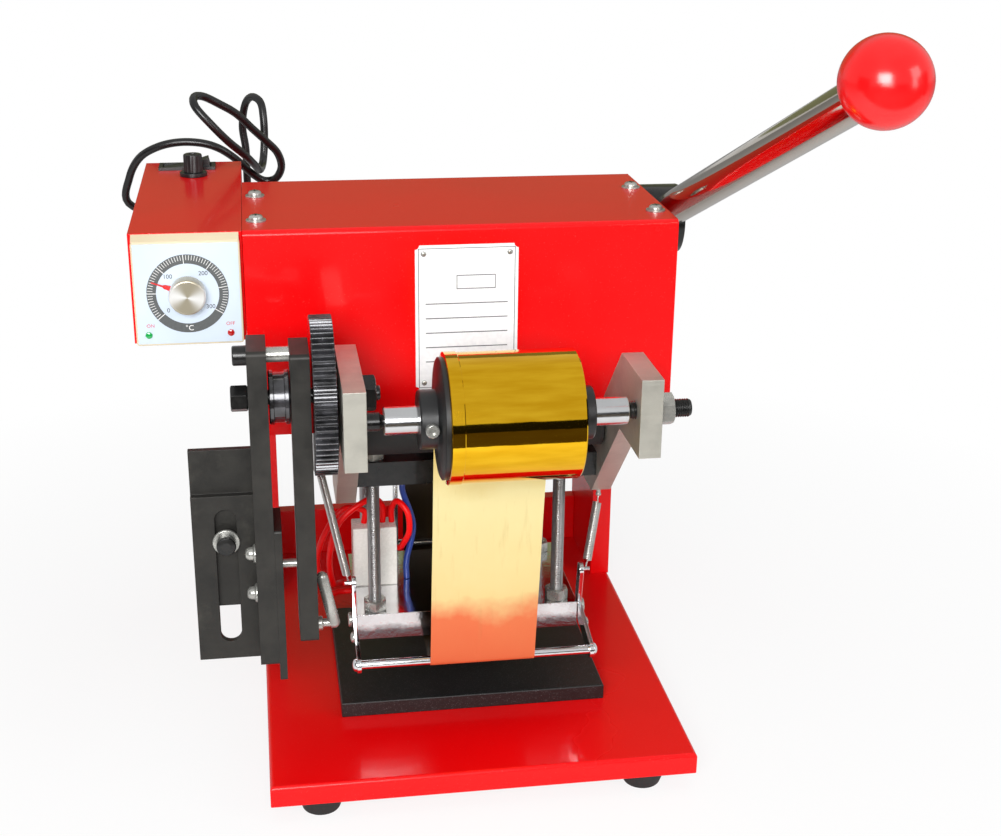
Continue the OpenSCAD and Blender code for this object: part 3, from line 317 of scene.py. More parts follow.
def brushed_aluminium():
    f = Finish("brushed aluminium")
    strokes = f.noise(40, 4, 0.6, (1, 4, 40))
    stain = f.patches(30, 4, 0.7, 0.45, 0.85)
    colour = f.mix(stain * 0.55, srgb(198, 196, 186), srgb(148, 146, 139))
    return f.surface(base_color=colour, metallic=0.9, roughness=strokes * 0.22 + 0.36,
                     normal=f.relief(strokes, 0.00005, 0.0007))


def spun_aluminium():
    """Turned face whose light and dark rays, painted highlight and shade in its colour, run out from the
    knob's middle
    """
    f = Finish("spun aluminium")
    centre = middle("temperature_knob")
    angle = f.maths("ARCTAN2", f.axis("Z") - centre.z, f.axis("X") - centre.x)
    # The rays are painted highlight: they stand for the light that the spun face mirrors
    painted_highlight_ray = f.maths("SINE", angle * 2 + 1.9) * 0.5 + 0.5
    fine = f.noise(300, 2)
    colour = f.mix(painted_highlight_ray ** 2.2, srgb(168, 160, 140), srgb(248, 248, 246))
    return f.surface(base_color=colour, metallic=0.5, roughness=fine * 0.1 + 0.26, normal=f.edge(0.0003))


def black_oxide(name, rough, metal, coat, light):
    f = Finish(name)
    oil_and_sheen = f.patches(70, 4, 0.65, 0.35, 0.75)
    grain = f.noise(900, 2)
    # The light tone of the patches is oil on the oxide; in the gear it is raised as painted sheen for the
    # glints on its teeth
    colour = f.mix(oil_and_sheen, srgb(18, 18, 19), srgb(*light))
    return f.surface(base_color=colour, metallic=metal, roughness=oil_and_sheen * 0.22 + rough, coat_weight=coat,
                     coat_roughness=0.1, normal=f.relief(grain, 0.00003, 0.0005))


def parkerised():
    f = Finish("parkerised steel")
    mottle = f.patches(45, 5, 0.7, 0.3, 0.75)
    scuff = f.patches(30, 5, 0.7, 0.60, 0.80)
    grain = f.noise(800, 2)
    colour = f.mix(mottle, srgb(32, 31, 29), srgb(49, 47, 43))
    colour = f.mix(scuff * 0.35, colour, srgb(82, 80, 73))
    return f.surface(base_color=colour, metallic=0.35, roughness=mottle * 0.18 + 0.42,
                     normal=f.relief(grain, 0.00004, 0.0007))


def zinc():
    f = Finish("zinc plate")
    cloud = f.patches(120, 4, 0.65, 0.3, 0.75)
    colour = f.mix(cloud, srgb(196, 196, 190), srgb(146, 146, 142))
    return f.surface(base_color=colour, metallic=0.75, roughness=cloud * 0.2 + 0.2, normal=f.edge(0.0004))


def bronze():
    f = Finish("bronze")
    lines = f.noise(80, 2, 0.5, (30, 1, 1))
    return f.surface(base_color=f.mix(lines, srgb(176, 132, 66), srgb(140, 100, 48)), metallic=1.0,
                     roughness=lines * 0.2 + 0.25)


def plastic(name, light, dark, rough, scale=500, depth=0.00003, shine=0.5):
    f = Finish(name)
    grain = f.noise(scale, 3)
    tone = f.span(f.noise(18, 3), 0.3, 0.7)
    colour = f.mix(tone, srgb(*light), srgb(*dark))
    return f.surface(base_color=colour, roughness=grain * 0.14 + rough, specular_ior_level=shine,
                     normal=f.relief(grain, depth, 0.0004))


def gold_roll():
    f = Finish("gold film on the roll")
    wind = f.noise(30, 3, 0.5, (1, 6, 6))
    layer = f.noise(90, 2, 0.5, (40, 1, 1))
    colour = f.mix(f.span(wind, 0.3, 0.7), srgb(240, 190, 40), srgb(222, 168, 24))
    return f.surface(base_color=colour, metallic=1.0, roughness=layer * 0.05 + 0.04,
                     normal=f.bump(wind, 0.00004))


def used_and_shaded_strip():
    """Film that has given off its gold, its dark brown partly its own and partly painted shade"""
    f = Finish("used film in painted shade")
    streak = f.noise(18, 4, 0.6, (4, 1, 1))
    return f.surface(base_color=f.mix(streak, srgb(58, 42, 20), srgb(24, 20, 14)), metallic=0.4,
                     roughness=streak * 0.2 + 0.2)


def gold_strip():
    f = Finish("gold film strip")
    fall = f.span(f.axis("Z"), 0.075, 0.26)
    crease = f.noise(26, 4, 0.6, (1, 1, 0.35))
    tone = f.ramp(fall + f.noise(22, 4, 0.6) * 0.26 - 0.13, [
        (0.0, srgb(212, 86, 52)), (0.22, srgb(218, 100, 62)), (0.34, srgb(222, 200, 138)),
        (0.75, srgb(224, 214, 160)), (1.0, srgb(212, 184, 102))])
    hair = f.span(f.noise(70, 3, 0.6, (2.8, 1, 0.35)), 0.58, 0.74)
    tone = f.mix(f.noise(9, 3) * 0.30, tone, srgb(196, 168, 96))
    tone = f.mix(hair * fall * 0.30, tone, srgb(160, 132, 72))
    return f.surface(base_color=tone, metallic=0.4, roughness=crease * 0.2 + 0.36,
                     normal=f.bump(crease - hair * 0.15, 0.0012, 0.6))


# Blank fields on the label as shares of its height and width: lower and upper edge, left and right edge
FIELD_LOW, FIELD_HIGH, FIELD_LEFT, FIELD_RIGHT = 0.70, 0.796, 0.40, 0.78
LABEL_RULES = [
    (FIELD_LOW, 0.706, FIELD_LEFT, FIELD_RIGHT), (0.79, FIELD_HIGH, FIELD_LEFT, FIELD_RIGHT),
    (FIELD_LOW, FIELD_HIGH, FIELD_LEFT, 0.407), (FIELD_LOW, FIELD_HIGH, 0.773, FIELD_RIGHT)]
LABEL_RULES += [(rise, rise + 0.007, 0.10, 0.90) for rise in (0.20, 0.30, 0.40, 0.50, 0.60)]


def printed_label():
    """White sheet with a thin dark line round it, a margin in from the edge, and blank fields"""
    f = Finish("white label")
    grain = f.noise(300, 2)
    low, size, centre = low_of("nameplate"), extent("nameplate") * MM, middle("nameplate")
    side = f.maths("ABSOLUTE", f.axis("X") - centre.x)
    rise = f.maths("ABSOLUTE", f.axis("Z") - centre.z)
    inset, width = 2.2 * MM, 0.45 * MM
    half_x, half_z = size.x / 2 - inset, size.z / 2 - inset
    outer = (side < half_x) * (rise < half_z)
    inner = (side < half_x - width) * (rise < half_z - width)
    colour = f.mix(f.span(grain, 0.3, 0.7), srgb(236, 237, 238), srgb(226, 227, 229))
    colour = f.mix(outer - inner, colour, srgb(60, 60, 64))
    across = (f.axis("X") - low.x) / size.x
    up = (f.axis("Z") - low.z) / size.z
    for foot, top, left, right in LABEL_RULES:
        mark = (up > foot) * (up < top) * (across > left) * (across < right)
        colour = f.mix(mark, colour, srgb(92, 94, 98))
    return f.surface(base_color=colour, roughness=grain * 0.1 + 0.3)


def clear_lens(name, shade, glow):
    f = Finish(name)
    colour = srgb(*shade)
    return f.surface(base_color=f.mix(f.noise(400, 2), colour, darker(0.6, colour)), roughness=0.12,
                     coat_weight=1.0, emission_color=colour, emission_strength=glow)


def enamel_dial():
    f = Finish("dial print")
    grain = f.noise(500, 2)
    colour = f.mix(grain, srgb(74, 77, 78), srgb(92, 95, 95))
    return f.surface(base_color=colour, roughness=grain * 0.1 + 0.38)


def flat_ink(name, shade):
    f = Finish(name)
    grain = f.noise(700, 2)
    colour = f.mix(grain, srgb(*shade), darker(0.88, srgb(*shade)))
    return f.surface(base_color=colour, roughness=grain * 0.1 + 0.5)


# Each finish: what makes it, and how
FINISHES = {
    "red": (red_enamel,), "table": (speckled_black,), "aluminium": (brushed_aluminium,), "arm": (parkerised,),
    "zinc": (zinc,), "bronze": (bronze,), "roll": (gold_roll,), "strip": (gold_strip,),
    "used and shaded strip": (used_and_shaded_strip,), "dial": (enamel_dial,), "label": (printed_label,), "spun": (spun_aluminium,),
    "scuffed": (scuffed_chrome,),
    "chrome": (chrome, "chrome", (0.80, 0.81, 0.83), 0.05),
    # The lever's darker, warm chrome is painted reflection: a shaded copy of the chrome for the dark, warm
    # room that it mirrors
    "lever": (chrome, "lever chrome", (0.50, 0.45, 0.38), 0.04),
    "dull chrome": (chrome, "worn chrome", (0.66, 0.67, 0.68), 0.14),
    "steel": (turned_steel, "turned steel", (0.52, 0.53, 0.55), 0.24),
    "spring": (turned_steel, "spring wire", (0.62, 0.62, 0.60), 0.2),
    "stud": (turned_steel, "stud steel", (0.40, 0.40, 0.40), 0.24),
    "oxide": (black_oxide, "black oxide", 0.24, 0.55, 0.35, (42, 42, 41)),
    # The gear's light tone, (94, 94, 99), is partly painted sheen, standing for the glints on its teeth
    "gear": (black_oxide, "oiled gear", 0.12, 0.6, 1.0, (94, 94, 99)),
    "rubber": (plastic, "black rubber", (20, 20, 20), (34, 33, 32), 0.62, 300, 0.0001),
    "pvc": (plastic, "cord jacket", (10, 10, 11), (20, 20, 21), 0.22, 260, 0.00002),
    "ivory": (plastic, "ivory plastic", (212, 198, 168), (202, 188, 157), 0.34),
    "black": (plastic, "black plastic", (16, 16, 17), (28, 28, 29), 0.3),
    "ball": (plastic, "red ball", (222, 16, 18), (206, 10, 14), 0.14, 90, 0.00002),
    "ceramic": (plastic, "glazed ceramic", (236, 234, 228), (216, 213, 206), 0.2),
    "red wire": (plastic, "red sleeve", (240, 6, 8), (228, 4, 6), 0.3, 500, 0.00003, 0.25),
    "blue wire": (plastic, "blue sleeve", (26, 62, 150), (18, 46, 120), 0.3),
    "white": (plastic, "white nylon", (228, 228, 226), (214, 214, 212), 0.34),
    "fascia": (plastic, "fascia print", (200, 212, 226), (190, 203, 218), 0.3),
    "green lens": (clear_lens, "green lens", (20, 150, 70), 0.4),
    "red lens": (clear_lens, "red lens", (180, 24, 24), 0.15),
    "white ink": (flat_ink, "white ink", (238, 238, 236)),
    "dark ink": (flat_ink, "dark ink", (40, 40, 44)),
    "red ink": (flat_ink, "red ink", (206, 20, 22)),
}
MADE = {}


def finish_of(name):
    """Each finish is made once, when a piece first asks for it"""
    if name not in MADE:
        maker, *settings = FINISHES[name]
        MADE[name] = maker(*settings)
    return MADE[name]


# Meshes


def show(name, mesh, body, finish, replaced=(), ends=None):
    """Puts a piece on its body with its finish, and hides the nodes that it stands for

    With ends given, the piece rides no body: its place is baked into its mesh, and body and the points of
    ends are not read
    """
    piece = bpy.data.objects.new(name, mesh)
    bpy.context.scene.collection.objects.link(piece)
    piece.data.materials.append(finish_of(finish))
    if ends:
        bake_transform(piece)
    else:
        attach(piece, body)
    if replaced:
        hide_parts(*replaced)
    return piece


def to_mesh(name, work, smooth):
    bmesh.ops.recalc_face_normals(work, faces=work.faces)
    mesh = bpy.data.meshes.new(name)
    work.to_mesh(mesh)
    work.free()
    mesh.polygons.foreach_set("use_smooth", [True] * len(mesh.polygons))
    mesh.set_sharp_from_angle(angle=math.radians(smooth))
    return mesh


def put(name, work, body, finish, replaced=(), smooth=30, ends=None):
    """Shows a work mesh, its edges sharp where faces meet at more than smooth degrees"""
    return show(name, to_mesh(name, work, smooth), body, finish, replaced, ends)


def body_of(node):
    return frame["nodes"][node]["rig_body"]


def slot_of(node):
    return next(s["material_slot"] for s in frame["record"]["subparts"] if s["node"] == node)


def stand_in(name, work, node, finish, smooth=30):
    """Shows a finer form in the place of one node"""
    return put(name, work, body_of(node), finish, [node], smooth)


def dress(node, finish):
    """Gives a node its finish as it stands"""
    mesh = frame["nodes"][node].data
    mesh.materials.clear()
    mesh.materials.append(finish_of(finish))


def rounded_copy(node, finish, width=0.6, steps=2, sharp=35):
    """A node's own form, its outer edges rounded by width in millimetres and its faces evenly shaded"""
    work = bmesh.new()
    work.from_mesh(frame["nodes"][node].data)
    bmesh.ops.remove_doubles(work, verts=work.verts, dist=1e-6)
    bmesh.ops.dissolve_limit(work, angle_limit=math.radians(1), verts=work.verts, edges=work.edges)
    edges = [e for e in work.edges if len(e.link_faces) == 2 and e.calc_face_angle() > math.radians(sharp)]
    bmesh.ops.bevel(work, geom=edges, offset=width * MM, offset_type="OFFSET", segments=steps, profile=0.6,
                    affect="EDGES", clamp_overlap=True)
    piece = stand_in("dressed_" + node, work, node, finish)
    piece.modifiers.new("even shading", "WEIGHTED_NORMAL").keep_sharp = True
    return piece


def ring_mesh(rings, closed=False):
    """A skin over rings of points, each ring a list of equal length"""
    work = bmesh.new()
    rows = [[work.verts.new(p) for p in ring] for ring in rings]
    count = len(rows[0])
    pairs = zip(rows, rows[1:] + rows[:1]) if closed else zip(rows, rows[1:])
    for low, high in pairs:
        for k in range(count):
            work.faces.new((low[k], low[(k + 1) % count], high[(k + 1) % count], high[k]))
    if not closed:
        work.faces.new(rows[0][::-1])
        work.faces.new(rows[-1])
    return work


def swept(spot, along, count, rings):
    """Points round an axis: each ring gives a radius and a reach for a step and its angle, in millimetres"""
    turn = Vector(along).to_track_quat("Z", "Y").to_matrix()
    rows = []
    for ring in rings:
        row = []
        for k in range(count):
            a = 2 * math.pi * k / count
            radius, reach = ring(k, a)
            point = Vector((radius * math.cos(a), radius * math.sin(a), reach)) * MM
            row.append(Vector(spot) + turn @ point)
        rows.append(row)
    return rows


def turned(profile, spot, along, count=48, closed=False, ribs=None):
    """A turned piece: profile holds radius and distance along the axis, in millimetres

    With ribs given, the widest rings are cut in by its value for each step round the axis
    """
    widest = max(radius for radius, _ in profile)

    def ring(radius, reach):
        if ribs and radius == widest:
            return lambda k, a: (radius - ribs(k), reach)
        return lambda k, a: (radius, reach)

    return ring_mesh(swept(spot, along, count, [ring(*point) for point in profile]), closed)


def join(parts):
    """Several work meshes as one"""
    whole = bmesh.new()
    for part in parts:
        held = bpy.data.meshes.new("held")
        part.to_mesh(held)
        part.free()
        whole.from_mesh(held)
        bpy.data.meshes.remove(held)
    return whole


def hex_nut(spot, along, corner, height, bore, count=48):
    """A nut with both faces chamfered, sizes in millimetres"""
    sixth = math.pi / 3
    flat = corner * math.cos(sixth / 2)
    face = flat * 0.97
    mouth, chamfer = bore + 0.5, 0.4

    def side(a):
        return flat / math.cos((a + sixth / 2) % sixth - sixth / 2)

    def drop(a):
        return max(0.0, side(a) - face) * 0.55

    return ring_mesh(swept(spot, along, count, [
        lambda k, a: (bore, chamfer), lambda k, a: (mouth, 0.0), lambda k, a: (face, 0.0),
        lambda k, a: (side(a), drop(a)), lambda k, a: (side(a), height - drop(a)),
        lambda k, a: (face, height), lambda k, a: (mouth, height),
        lambda k, a: (bore, height - chamfer)]), closed=True)


def socket_shade_plug(spot, along, radius, depth):
    """Painted shade of a socket: a short dark six-sided plug that ends just proud of a screw head"""
    return turned([(radius, -depth), (radius, 0.05)], spot, along, 6)


def slab(low, high):
    """A block between two corners, in metres"""
    work = bmesh.new()
    bmesh.ops.create_cube(work, size=1.0)
    for v in work.verts:
        v.co = Vector([a if c < 0 else b for c, a, b in zip(v.co, low, high)])
    return work


def smooth_route(points, steps):
    """A smooth curve through given points"""
    route = []
    last = len(points) - 1
    for i in range(last):
        a, b = points[max(i - 1, 0)], points[i]
        c, d = points[i + 1], points[min(i + 2, last)]
        for s in range(steps):
            u = s / steps
            route.append(0.5 * (2 * b + (c - a) * u + (2 * a - 5 * b + 4 * c - d) * u ** 2
                                + (3 * b - a - 3 * c + d) * u ** 3))
    return route + [points[last]]


def helix(start, end, side, radius, curls, steps):
    """Turns of wire from start to end, in metres; side points to where the first one begins"""
    other = (end - start).normalized().cross(side)
    route = []
    for i in range(curls * steps + 1):
        a = 2 * math.pi * i / steps
        ring = radius * (math.cos(a) * side + math.sin(a) * other)
        route.append(start + (end - start) * (i / (curls * steps)) + ring)
    return route


def tube(route, radius, around):
    """A round skin along a route in metres, its rings carried along without twist"""
    rings = []
    side = None
    for i, point in enumerate(route):
        ahead = (route[min(i + 1, len(route) - 1)] - route[max(i - 1, 0)]).normalized()
        if side is None:
            side = ahead.orthogonal().normalized()
        side = (side - ahead * side.dot(ahead)).normalized()
        other = ahead.cross(side)
        rings.append([point + radius * (math.cos(2 * math.pi * k / around) * side
                                        + math.sin(2 * math.pi * k / around) * other) for k in range(around)])
    return ring_mesh(rings)


def wire(name, route, radius, around):
    """A round curve along a route in metres"""
    curve = bpy.data.curves.new(name, "CURVE")
    curve.dimensions = "3D"
    curve.bevel_depth = radius
    curve.bevel_resolution = around
    curve.use_fill_caps = True
    line = curve.splines.new("POLY")
    line.points.add(len(route) - 1)
    for spot, point in zip(line.points, route):
        spot.co = (*point, 1)
    line.use_smooth = True
    return curve


# Sizes and colours that a user would change


def length(name, description, size):
    """A length, given in millimetres"""
    return FloatProperty(name=name, description=description, default=size * MM, unit="LENGTH")


def angle(name, description, size):
    """An angle, given in degrees"""
    return FloatProperty(name=name, description=description, default=math.radians(size), subtype="ANGLE")


def power(name, description, size):
    """A lamp's power in watts"""
    return FloatProperty(name=name, description=description, default=size, unit="POWER")


class CordSizes(PropertyGroup):
    """The power cord"""
    diameter: length("Diameter", "Across the cord's jacket", 6.5)
    step: length("Coil step", "From turn to turn", 7.9)
    outer: length("Coil radius", "Of the outer turn", 41.8)
    turns: FloatProperty(name="Turns", description="Turns in one layer of the coil", default=1.75)
    lead: length("Lead", "Straight length before the plug", 40)


class ViewSizes(PropertyGroup):
    """The photograph's viewpoint on the machine's own lines, and the light"""
    spot: FloatVectorProperty(name="Camera", description="Place of the camera", size=3, subtype="XYZ",
                              default=(-0.141, -1.053, 0.6395))
    yaw: angle("Yaw", "Turn to the right", 9.22)
    pitch: angle("Pitch", "Tilt downwards", 20.82)
    roll: angle("Roll", "Turn about the view", 0.68)
    lens: FloatProperty(name="Lens", description="Focal length on a 36 mm sensor", default=55.53,
                        unit="CAMERA")
    key: power("Key light", "Power of the main lamp", 28.0)
    fill: power("Fill light", "Power of the side lamp", 12.0)
    sky: FloatProperty(name="Sky", description="Strength of the even light", default=0.3)
    floor: FloatVectorProperty(name="Floor", description="Colour of the floor", size=3, subtype="COLOR",
                               default=(0.9, 0.9, 0.9))


class DetailSizes(PropertyGroup):
    """Fine pieces"""
    thread: length("Thread pitch", "Of the studs", 1.5)
    curl: length("Left spring", "Radius to the wire's middle", 2.45)
    curl_right: length("Right spring", "Radius to the wire's middle", 2.9)
    spring_wire: length("Spring wire", "Radius of the wire", 0.55)
    lead_wire: length("Lead wire", "Radius of a heater lead", 2.3)
    ticks: IntProperty(name="Dial ticks", description="Marks round the dial", default=31)


def sizes(group):
    return getattr(bpy.context.scene, "foil_press_" + group)


# Stage


def lamp(name, spot, target, width, watts, mirrored):
    light = bpy.data.lights.new(name, "AREA")
    light.shape = "RECTANGLE"
    light.size, light.size_y = width
    light.energy = watts
    holder = bpy.data.objects.new(name, light)
    holder.location = spot
    holder.visible_glossy = mirrored
    holder.rotation_euler = (Vector(target) - Vector(spot)).to_track_quat("-Z", "Y").to_euler()
    bpy.context.scene.collection.objects.link(holder)


def flat_card(name, corners, finish):
    work = bmesh.new()
    work.faces.new([work.verts.new(c) for c in corners])
    mesh = bpy.data.meshes.new(name)
    work.to_mesh(mesh)
    work.free()
    card = bpy.data.objects.new(name, mesh)
    card.data.materials.append(finish)
    bpy.context.scene.collection.objects.link(card)
    return card


def pale_floor(colour):
    f = Finish("pale floor")
    path = f.node("ShaderNodeLightPath", out="Is Camera Ray")
    spot = f.node("ShaderNodeTexCoord", out="Object")
    far = f.node("ShaderNodeVectorMath", {"operation": "DISTANCE"}, {0: spot, 1: tuple(MACHINE)}, out="Value")
    share = f.span(far, 0.3, 0.8) * 0.18 + 0.82
    grain = f.noise(3, 2)
    tone = f.mix(grain, tuple(colour), darker(0.98, colour))
    matt = f.node("ShaderNodeBsdfDiffuse", inputs={"Color": tone})
    bright = f.node("ShaderNodeEmission", inputs={"Color": (1, 1, 1), "Strength": 1.0})
    mixed = f.node("ShaderNodeMixShader", inputs={0: path * share, 1: matt, 2: bright})
    return f.end("ShaderNodeOutputMaterial", mixed)


def plain_card(name, shade):
    f = Finish(name)
    glow = f.node("ShaderNodeEmission", inputs={"Color": shade, "Strength": 1.0})
    return f.end("ShaderNodeOutputMaterial", glow)


def flag(name, corners, shade):
    """Card that bright surfaces mirror and nothing else sees"""
    card = flat_card(name, [at(*corner) for corner in corners], plain_card(name, shade))
    card.visible_camera = False
    card.visible_diffuse = False
    card.visible_shadow = False


def even_sky(strength):
    f = Finish("even sky", "worlds")
    camera = f.node("ShaderNodeLightPath", out="Is Camera Ray")
    gloss = f.node("ShaderNodeLightPath", out="Is Glossy Ray")
    clear = f.node("ShaderNodeLightPath", out="Is Transmission Ray")
    seen = f.maths("MAXIMUM", camera, clear)
    level = seen * (1 - strength) + gloss * (1 - seen) * 0.4 + strength
    back = f.node("ShaderNodeBackground", inputs={"Color": (1, 1, 1), "Strength": level})
    return f.end("ShaderNodeOutputWorld", back)


class FOILPRESS_OT_stage(Operator):
    """Camera at the photograph's viewpoint, pale floor and soft light"""
    bl_idname = "foil_press.stage"
    bl_label = "Stage"

    def execute(self, context):
        view = sizes("view")
        scene = context.scene
        scene.view_settings.view_transform = "Standard"
        scene.world = even_sky(view.sky)
        ahead = Vector((math.sin(view.yaw) * math.cos(view.pitch), math.cos(view.yaw) * math.cos(view.pitch),
                        -math.sin(view.pitch)))
        right = Vector((math.cos(view.yaw), -math.sin(view.yaw), 0))
        up = right.cross(ahead)
        across = math.cos(view.roll) * right + math.sin(view.roll) * up
        upward = -math.sin(view.roll) * right + math.cos(view.roll) * up
        lens = bpy.data.cameras.new("photo camera")
        lens.sensor_width = 36
        lens.sensor_fit = "HORIZONTAL"
        lens.lens = view.lens
        lens.clip_start, lens.clip_end = 0.05, 60
        camera = bpy.data.objects.new("photo camera", lens)
        turn = Matrix((across, upward, -ahead)).transposed().to_4x4()
        camera.matrix_world = Matrix.Translation(MACHINE + Vector(view.spot)) @ turn
        scene.collection.objects.link(camera)
        scene.camera = camera
        reach = 9.0
        flat_card("floor", [(-reach, -reach, 0), (reach, -reach, 0), (reach, reach, 0), (-reach, reach, 0)],
                  pale_floor(view.floor))
        aim = at(0, 0, 220)
        for name, away, width, watts, mirrored in (
                ("key", (-0.6, -1.8, 0.8), (0.9, 0.7), view.key, True),
                ("fill", (1.6, -1.3, 0.7), (0.8, 1.2), view.fill, True),
                ("top", (0.1, -0.35, 2.0), (2.0, 1.6), view.fill * 0.9, False),
                ("front", (-0.2, -1.3, 0.5), (0.5, 0.5), view.fill * 0.55, True)):
            lamp(name, aim + Vector(away), aim, width, watts, mirrored)
        dark, brown, warm = (0.01, 0.01, 0.011), (0.09, 0.07, 0.045), (0.23, 0.24, 0.13)
        for name, (xa, ya), (xb, yb), foot, top, shade in (
                ("left flag", (-1500, -1300), (-1500, -300), 30, 900, dark),
                ("right flag", (1600, -1300), (1600, -300), 30, 900, dark),
                ("front flag", (-1800, -2700), (1800, -2700), 0, 680, dark),
                ("back flag", (-1400, 2300), (2400, 2300), 450, 2000, warm)):
            flag(name, [(xa, ya, foot), (xb, yb, foot), (xb, yb, top), (xa, ya, top)], shade)
        flag("floor flag", [(-1800, -2700, 2), (1800, -2700, 2), (1800, -650, 2), (-1800, -650, 2)], brown)
        return {"FINISHED"}


# Power cord

CORD_ROUTE = [
    (-205, 242, 322), (-206, 254, 322), (-216, 270, 325), (-248, 268, 341), (-245, 258, 365),
    (-235, 250, 383), (-219, 244, 393), (-201, 241, 397), (-183, 240, 396), (-169, 241, 391),
    (-156, 245, 381), (-145, 250, 369), (-134, 254, 361), (-124, 252, 363), (-119, 246, 374),
    (-122, 240, 387), (-131, 234, 398), (-142, 227, 410), (-154, 221, 423), (-167, 215, 432),
    (-179, 209, 439), (-186, 200, 440), (-185, 190, 434), (-174, 187, 421), (-161, 192, 406),
    (-149, 204, 393), (-141, 221, 381), (-137, 240, 373), (-134, 260, 376), (-132, 267, 393),
    (-132, 270, 411), (-134, 276, 423), (-141, 286, 426), (-147, 294, 418), (-150, 297, 399),
    (-148, 296, 379), (-148, 293, 350), (-146, 286, 316), (-142, 268, 270), (-142, 252, 210),
    (-142, 246, 150), (-141, 246, 90), (-134, 249, 44), (-112, 251, 14), (-80, 250, 6), (-40, 248, 5),
    (-20, 248, 5), (-2, 248, 5)]


def coil_route(start, cord):
    """Turns that spiral in on the floor, climb a layer and spiral out again"""
    centre = start + Vector((cord.diameter, cord.outer, 0))
    inner = cord.outer - cord.turns * cord.step
    rise = 0.5
    total = 2 * cord.turns + rise
    per_turn = 60
    route = []
    for i in range(int(total * per_turn) + 1):
        t = i / per_turn
        climb = min(1.0, max(0.0, (t - cord.turns) / rise))
        radius = cord.outer - cord.step * t if t < cord.turns else inner
        if t > cord.turns + rise:
            radius = inner + cord.step * (t - cord.turns - rise)
        a = 2 * math.pi * t
        route.append(centre + Vector((radius * math.sin(a), -radius * math.cos(a), cord.step * climb)))
    return route + [route[-1] + Vector((cord.lead, 0, 0))]


class FOILPRESS_OT_power_cord(Operator):
    """Power cord with its strain relief, coil, tie and plug"""
    bl_idname = "foil_press.power_cord"
    bl_label = "Power cord"

    def execute(self, context):
        cord = sizes("cord")
        route = smooth_route([at(*p) for p in CORD_ROUTE], 6)
        route += coil_route(route[-1], cord)
        curve = wire("power_cord_jacket", route, cord.diameter / 2, 5)
        piece = show("power_cord_jacket", curve, "frame", "pvc", ["power_cord", "cord_coil"])
        relief = gland_ribs()
        tie = rounded_copy("cord_tie", "white", 0.3)
        plug = rounded_copy("power_plug", "black", 1.2, 3)
        return {"FINISHED"}


def gland_ribs():
    """Tapered strain relief with flex ribs"""
    reach = extent("cord_gland").y
    profile = [(6.0, 0.0), (10.0, 0.0), (10.0, 3.2), (9.4, 4.0), (7.6, 4.2)]
    start, ribs, groove = 5.0, 6, 0.9
    step = (reach - start) / ribs
    for k in range(ribs):
        radius = 7.6 - 2.6 * k / ribs
        base = start + k * step
        profile += [(radius, base), (radius, base + step * 0.55), (radius - groove, base + step * 0.62),
                    (radius - groove, base + step * 0.92)]
    profile += [(4.8, reach), (3.3, reach)]
    sleeve = turned(profile, foot_of("cord_gland", 1), BACK, 40)
    return stand_in("strain_relief", sleeve, "cord_gland", "black")


# Cabinet and base


def screw_head(spot, along, radius, height):
    """A pan head with a cross recess, sizes in millimetres; the recess comes as a mesh of its own, dark bars
    over the head as painted shade
    """
    dome = [(radius, 0.0), (radius, height * 0.35), (radius * 0.93, height * 0.62),
            (radius * 0.78, height * 0.84), (radius * 0.5, height * 0.97), (0.001, height)]
    turn = Vector(along).to_track_quat("Z", "Y").to_matrix()
    cross = []
    # Dark bars as painted shade in the cross recess
    for wide, deep in ((0.52, 0.11), (0.11, 0.52)):
        corner = Vector((wide * radius, deep * radius, 0)) * MM
        bar = slab(Vector((0, 0, height * 0.8)) * MM - corner, Vector((0, 0, height + 0.06)) * MM + corner)
        for v in bar.verts:
            v.co = Vector(spot) + turn @ v.co
        cross.append(bar)
    return turned(dome, spot, along, 28), cross


class FOILPRESS_OT_cabinet(Operator):
    """Painted base, side plates, cover, rear panel and the table"""
    bl_idname = "foil_press.cabinet"
    bl_label = "Cabinet"

    def execute(self, context):
        for node in ("base_plate", "side_plate_left", "side_plate_right", "rear_tie_plate", "rear_panel",
                     "cover", "control_box"):
            rounded_copy(node, "red", 0.9, 3)
        rounded_copy("rubber_feet", "rubber", 0.8)
        rounded_copy("work_table", "table", 0.7)
        rounded_copy("nameplate", "label", 0.2, 1)
        for node, finish in (("column_guide", "steel"), ("shaft_bushes", "bronze"), ("spring_bar", "steel")):
            dress(node, finish)
        self.screws()
        return {"FINISHED"}

    def screws(self):
        """Screws on washers in the cover, screws in the rear panel and rivets in the label"""
        top, rear = high_of("cover").z / MM, 227.5
        thick = 1.2
        washer = [(3.6, 0.0), (7.0, 0.0), (7.0, 1.0), (6.8, thick), (3.6, thick)]
        heads, recess_shades, spots = [], [], []
        for x in (-142, 142):
            for y in (6, 83):
                heads.append(turned(washer, at(x, y, top), UP, 32, closed=True))
                spots.append((at(x, y, top + thick), UP, 5.0, 3.4))
            spots += [(at(x, rear, z), BACK, 4.6, 2.4) for z in (223, 325)]
        for spot in spots:
            head, cross = screw_head(*spot)
            heads.append(head)
            recess_shades += cross
        low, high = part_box("nameplate")
        inset = 6 * MM
        rivet = [(1.9, 0.0), (1.9, 0.3), (1.4, 0.75), (0.6, 0.95), (TIP, 1.0)]
        for x in (low[0] + inset, high[0] - inset):
            heads += [turned(rivet, (x, low[1], z), FRONT, 20) for z in (low[2] + inset, high[2] - inset)]
        stand_in("cabinet_screws", join(heads), "cabinet_fasteners", "zinc", SCREW_SMOOTH)
        # Dark bars over the screw heads: painted shade in the cross recesses
        put("screw_recess_shades", join(recess_shades), "frame", "oxide")


# Lever


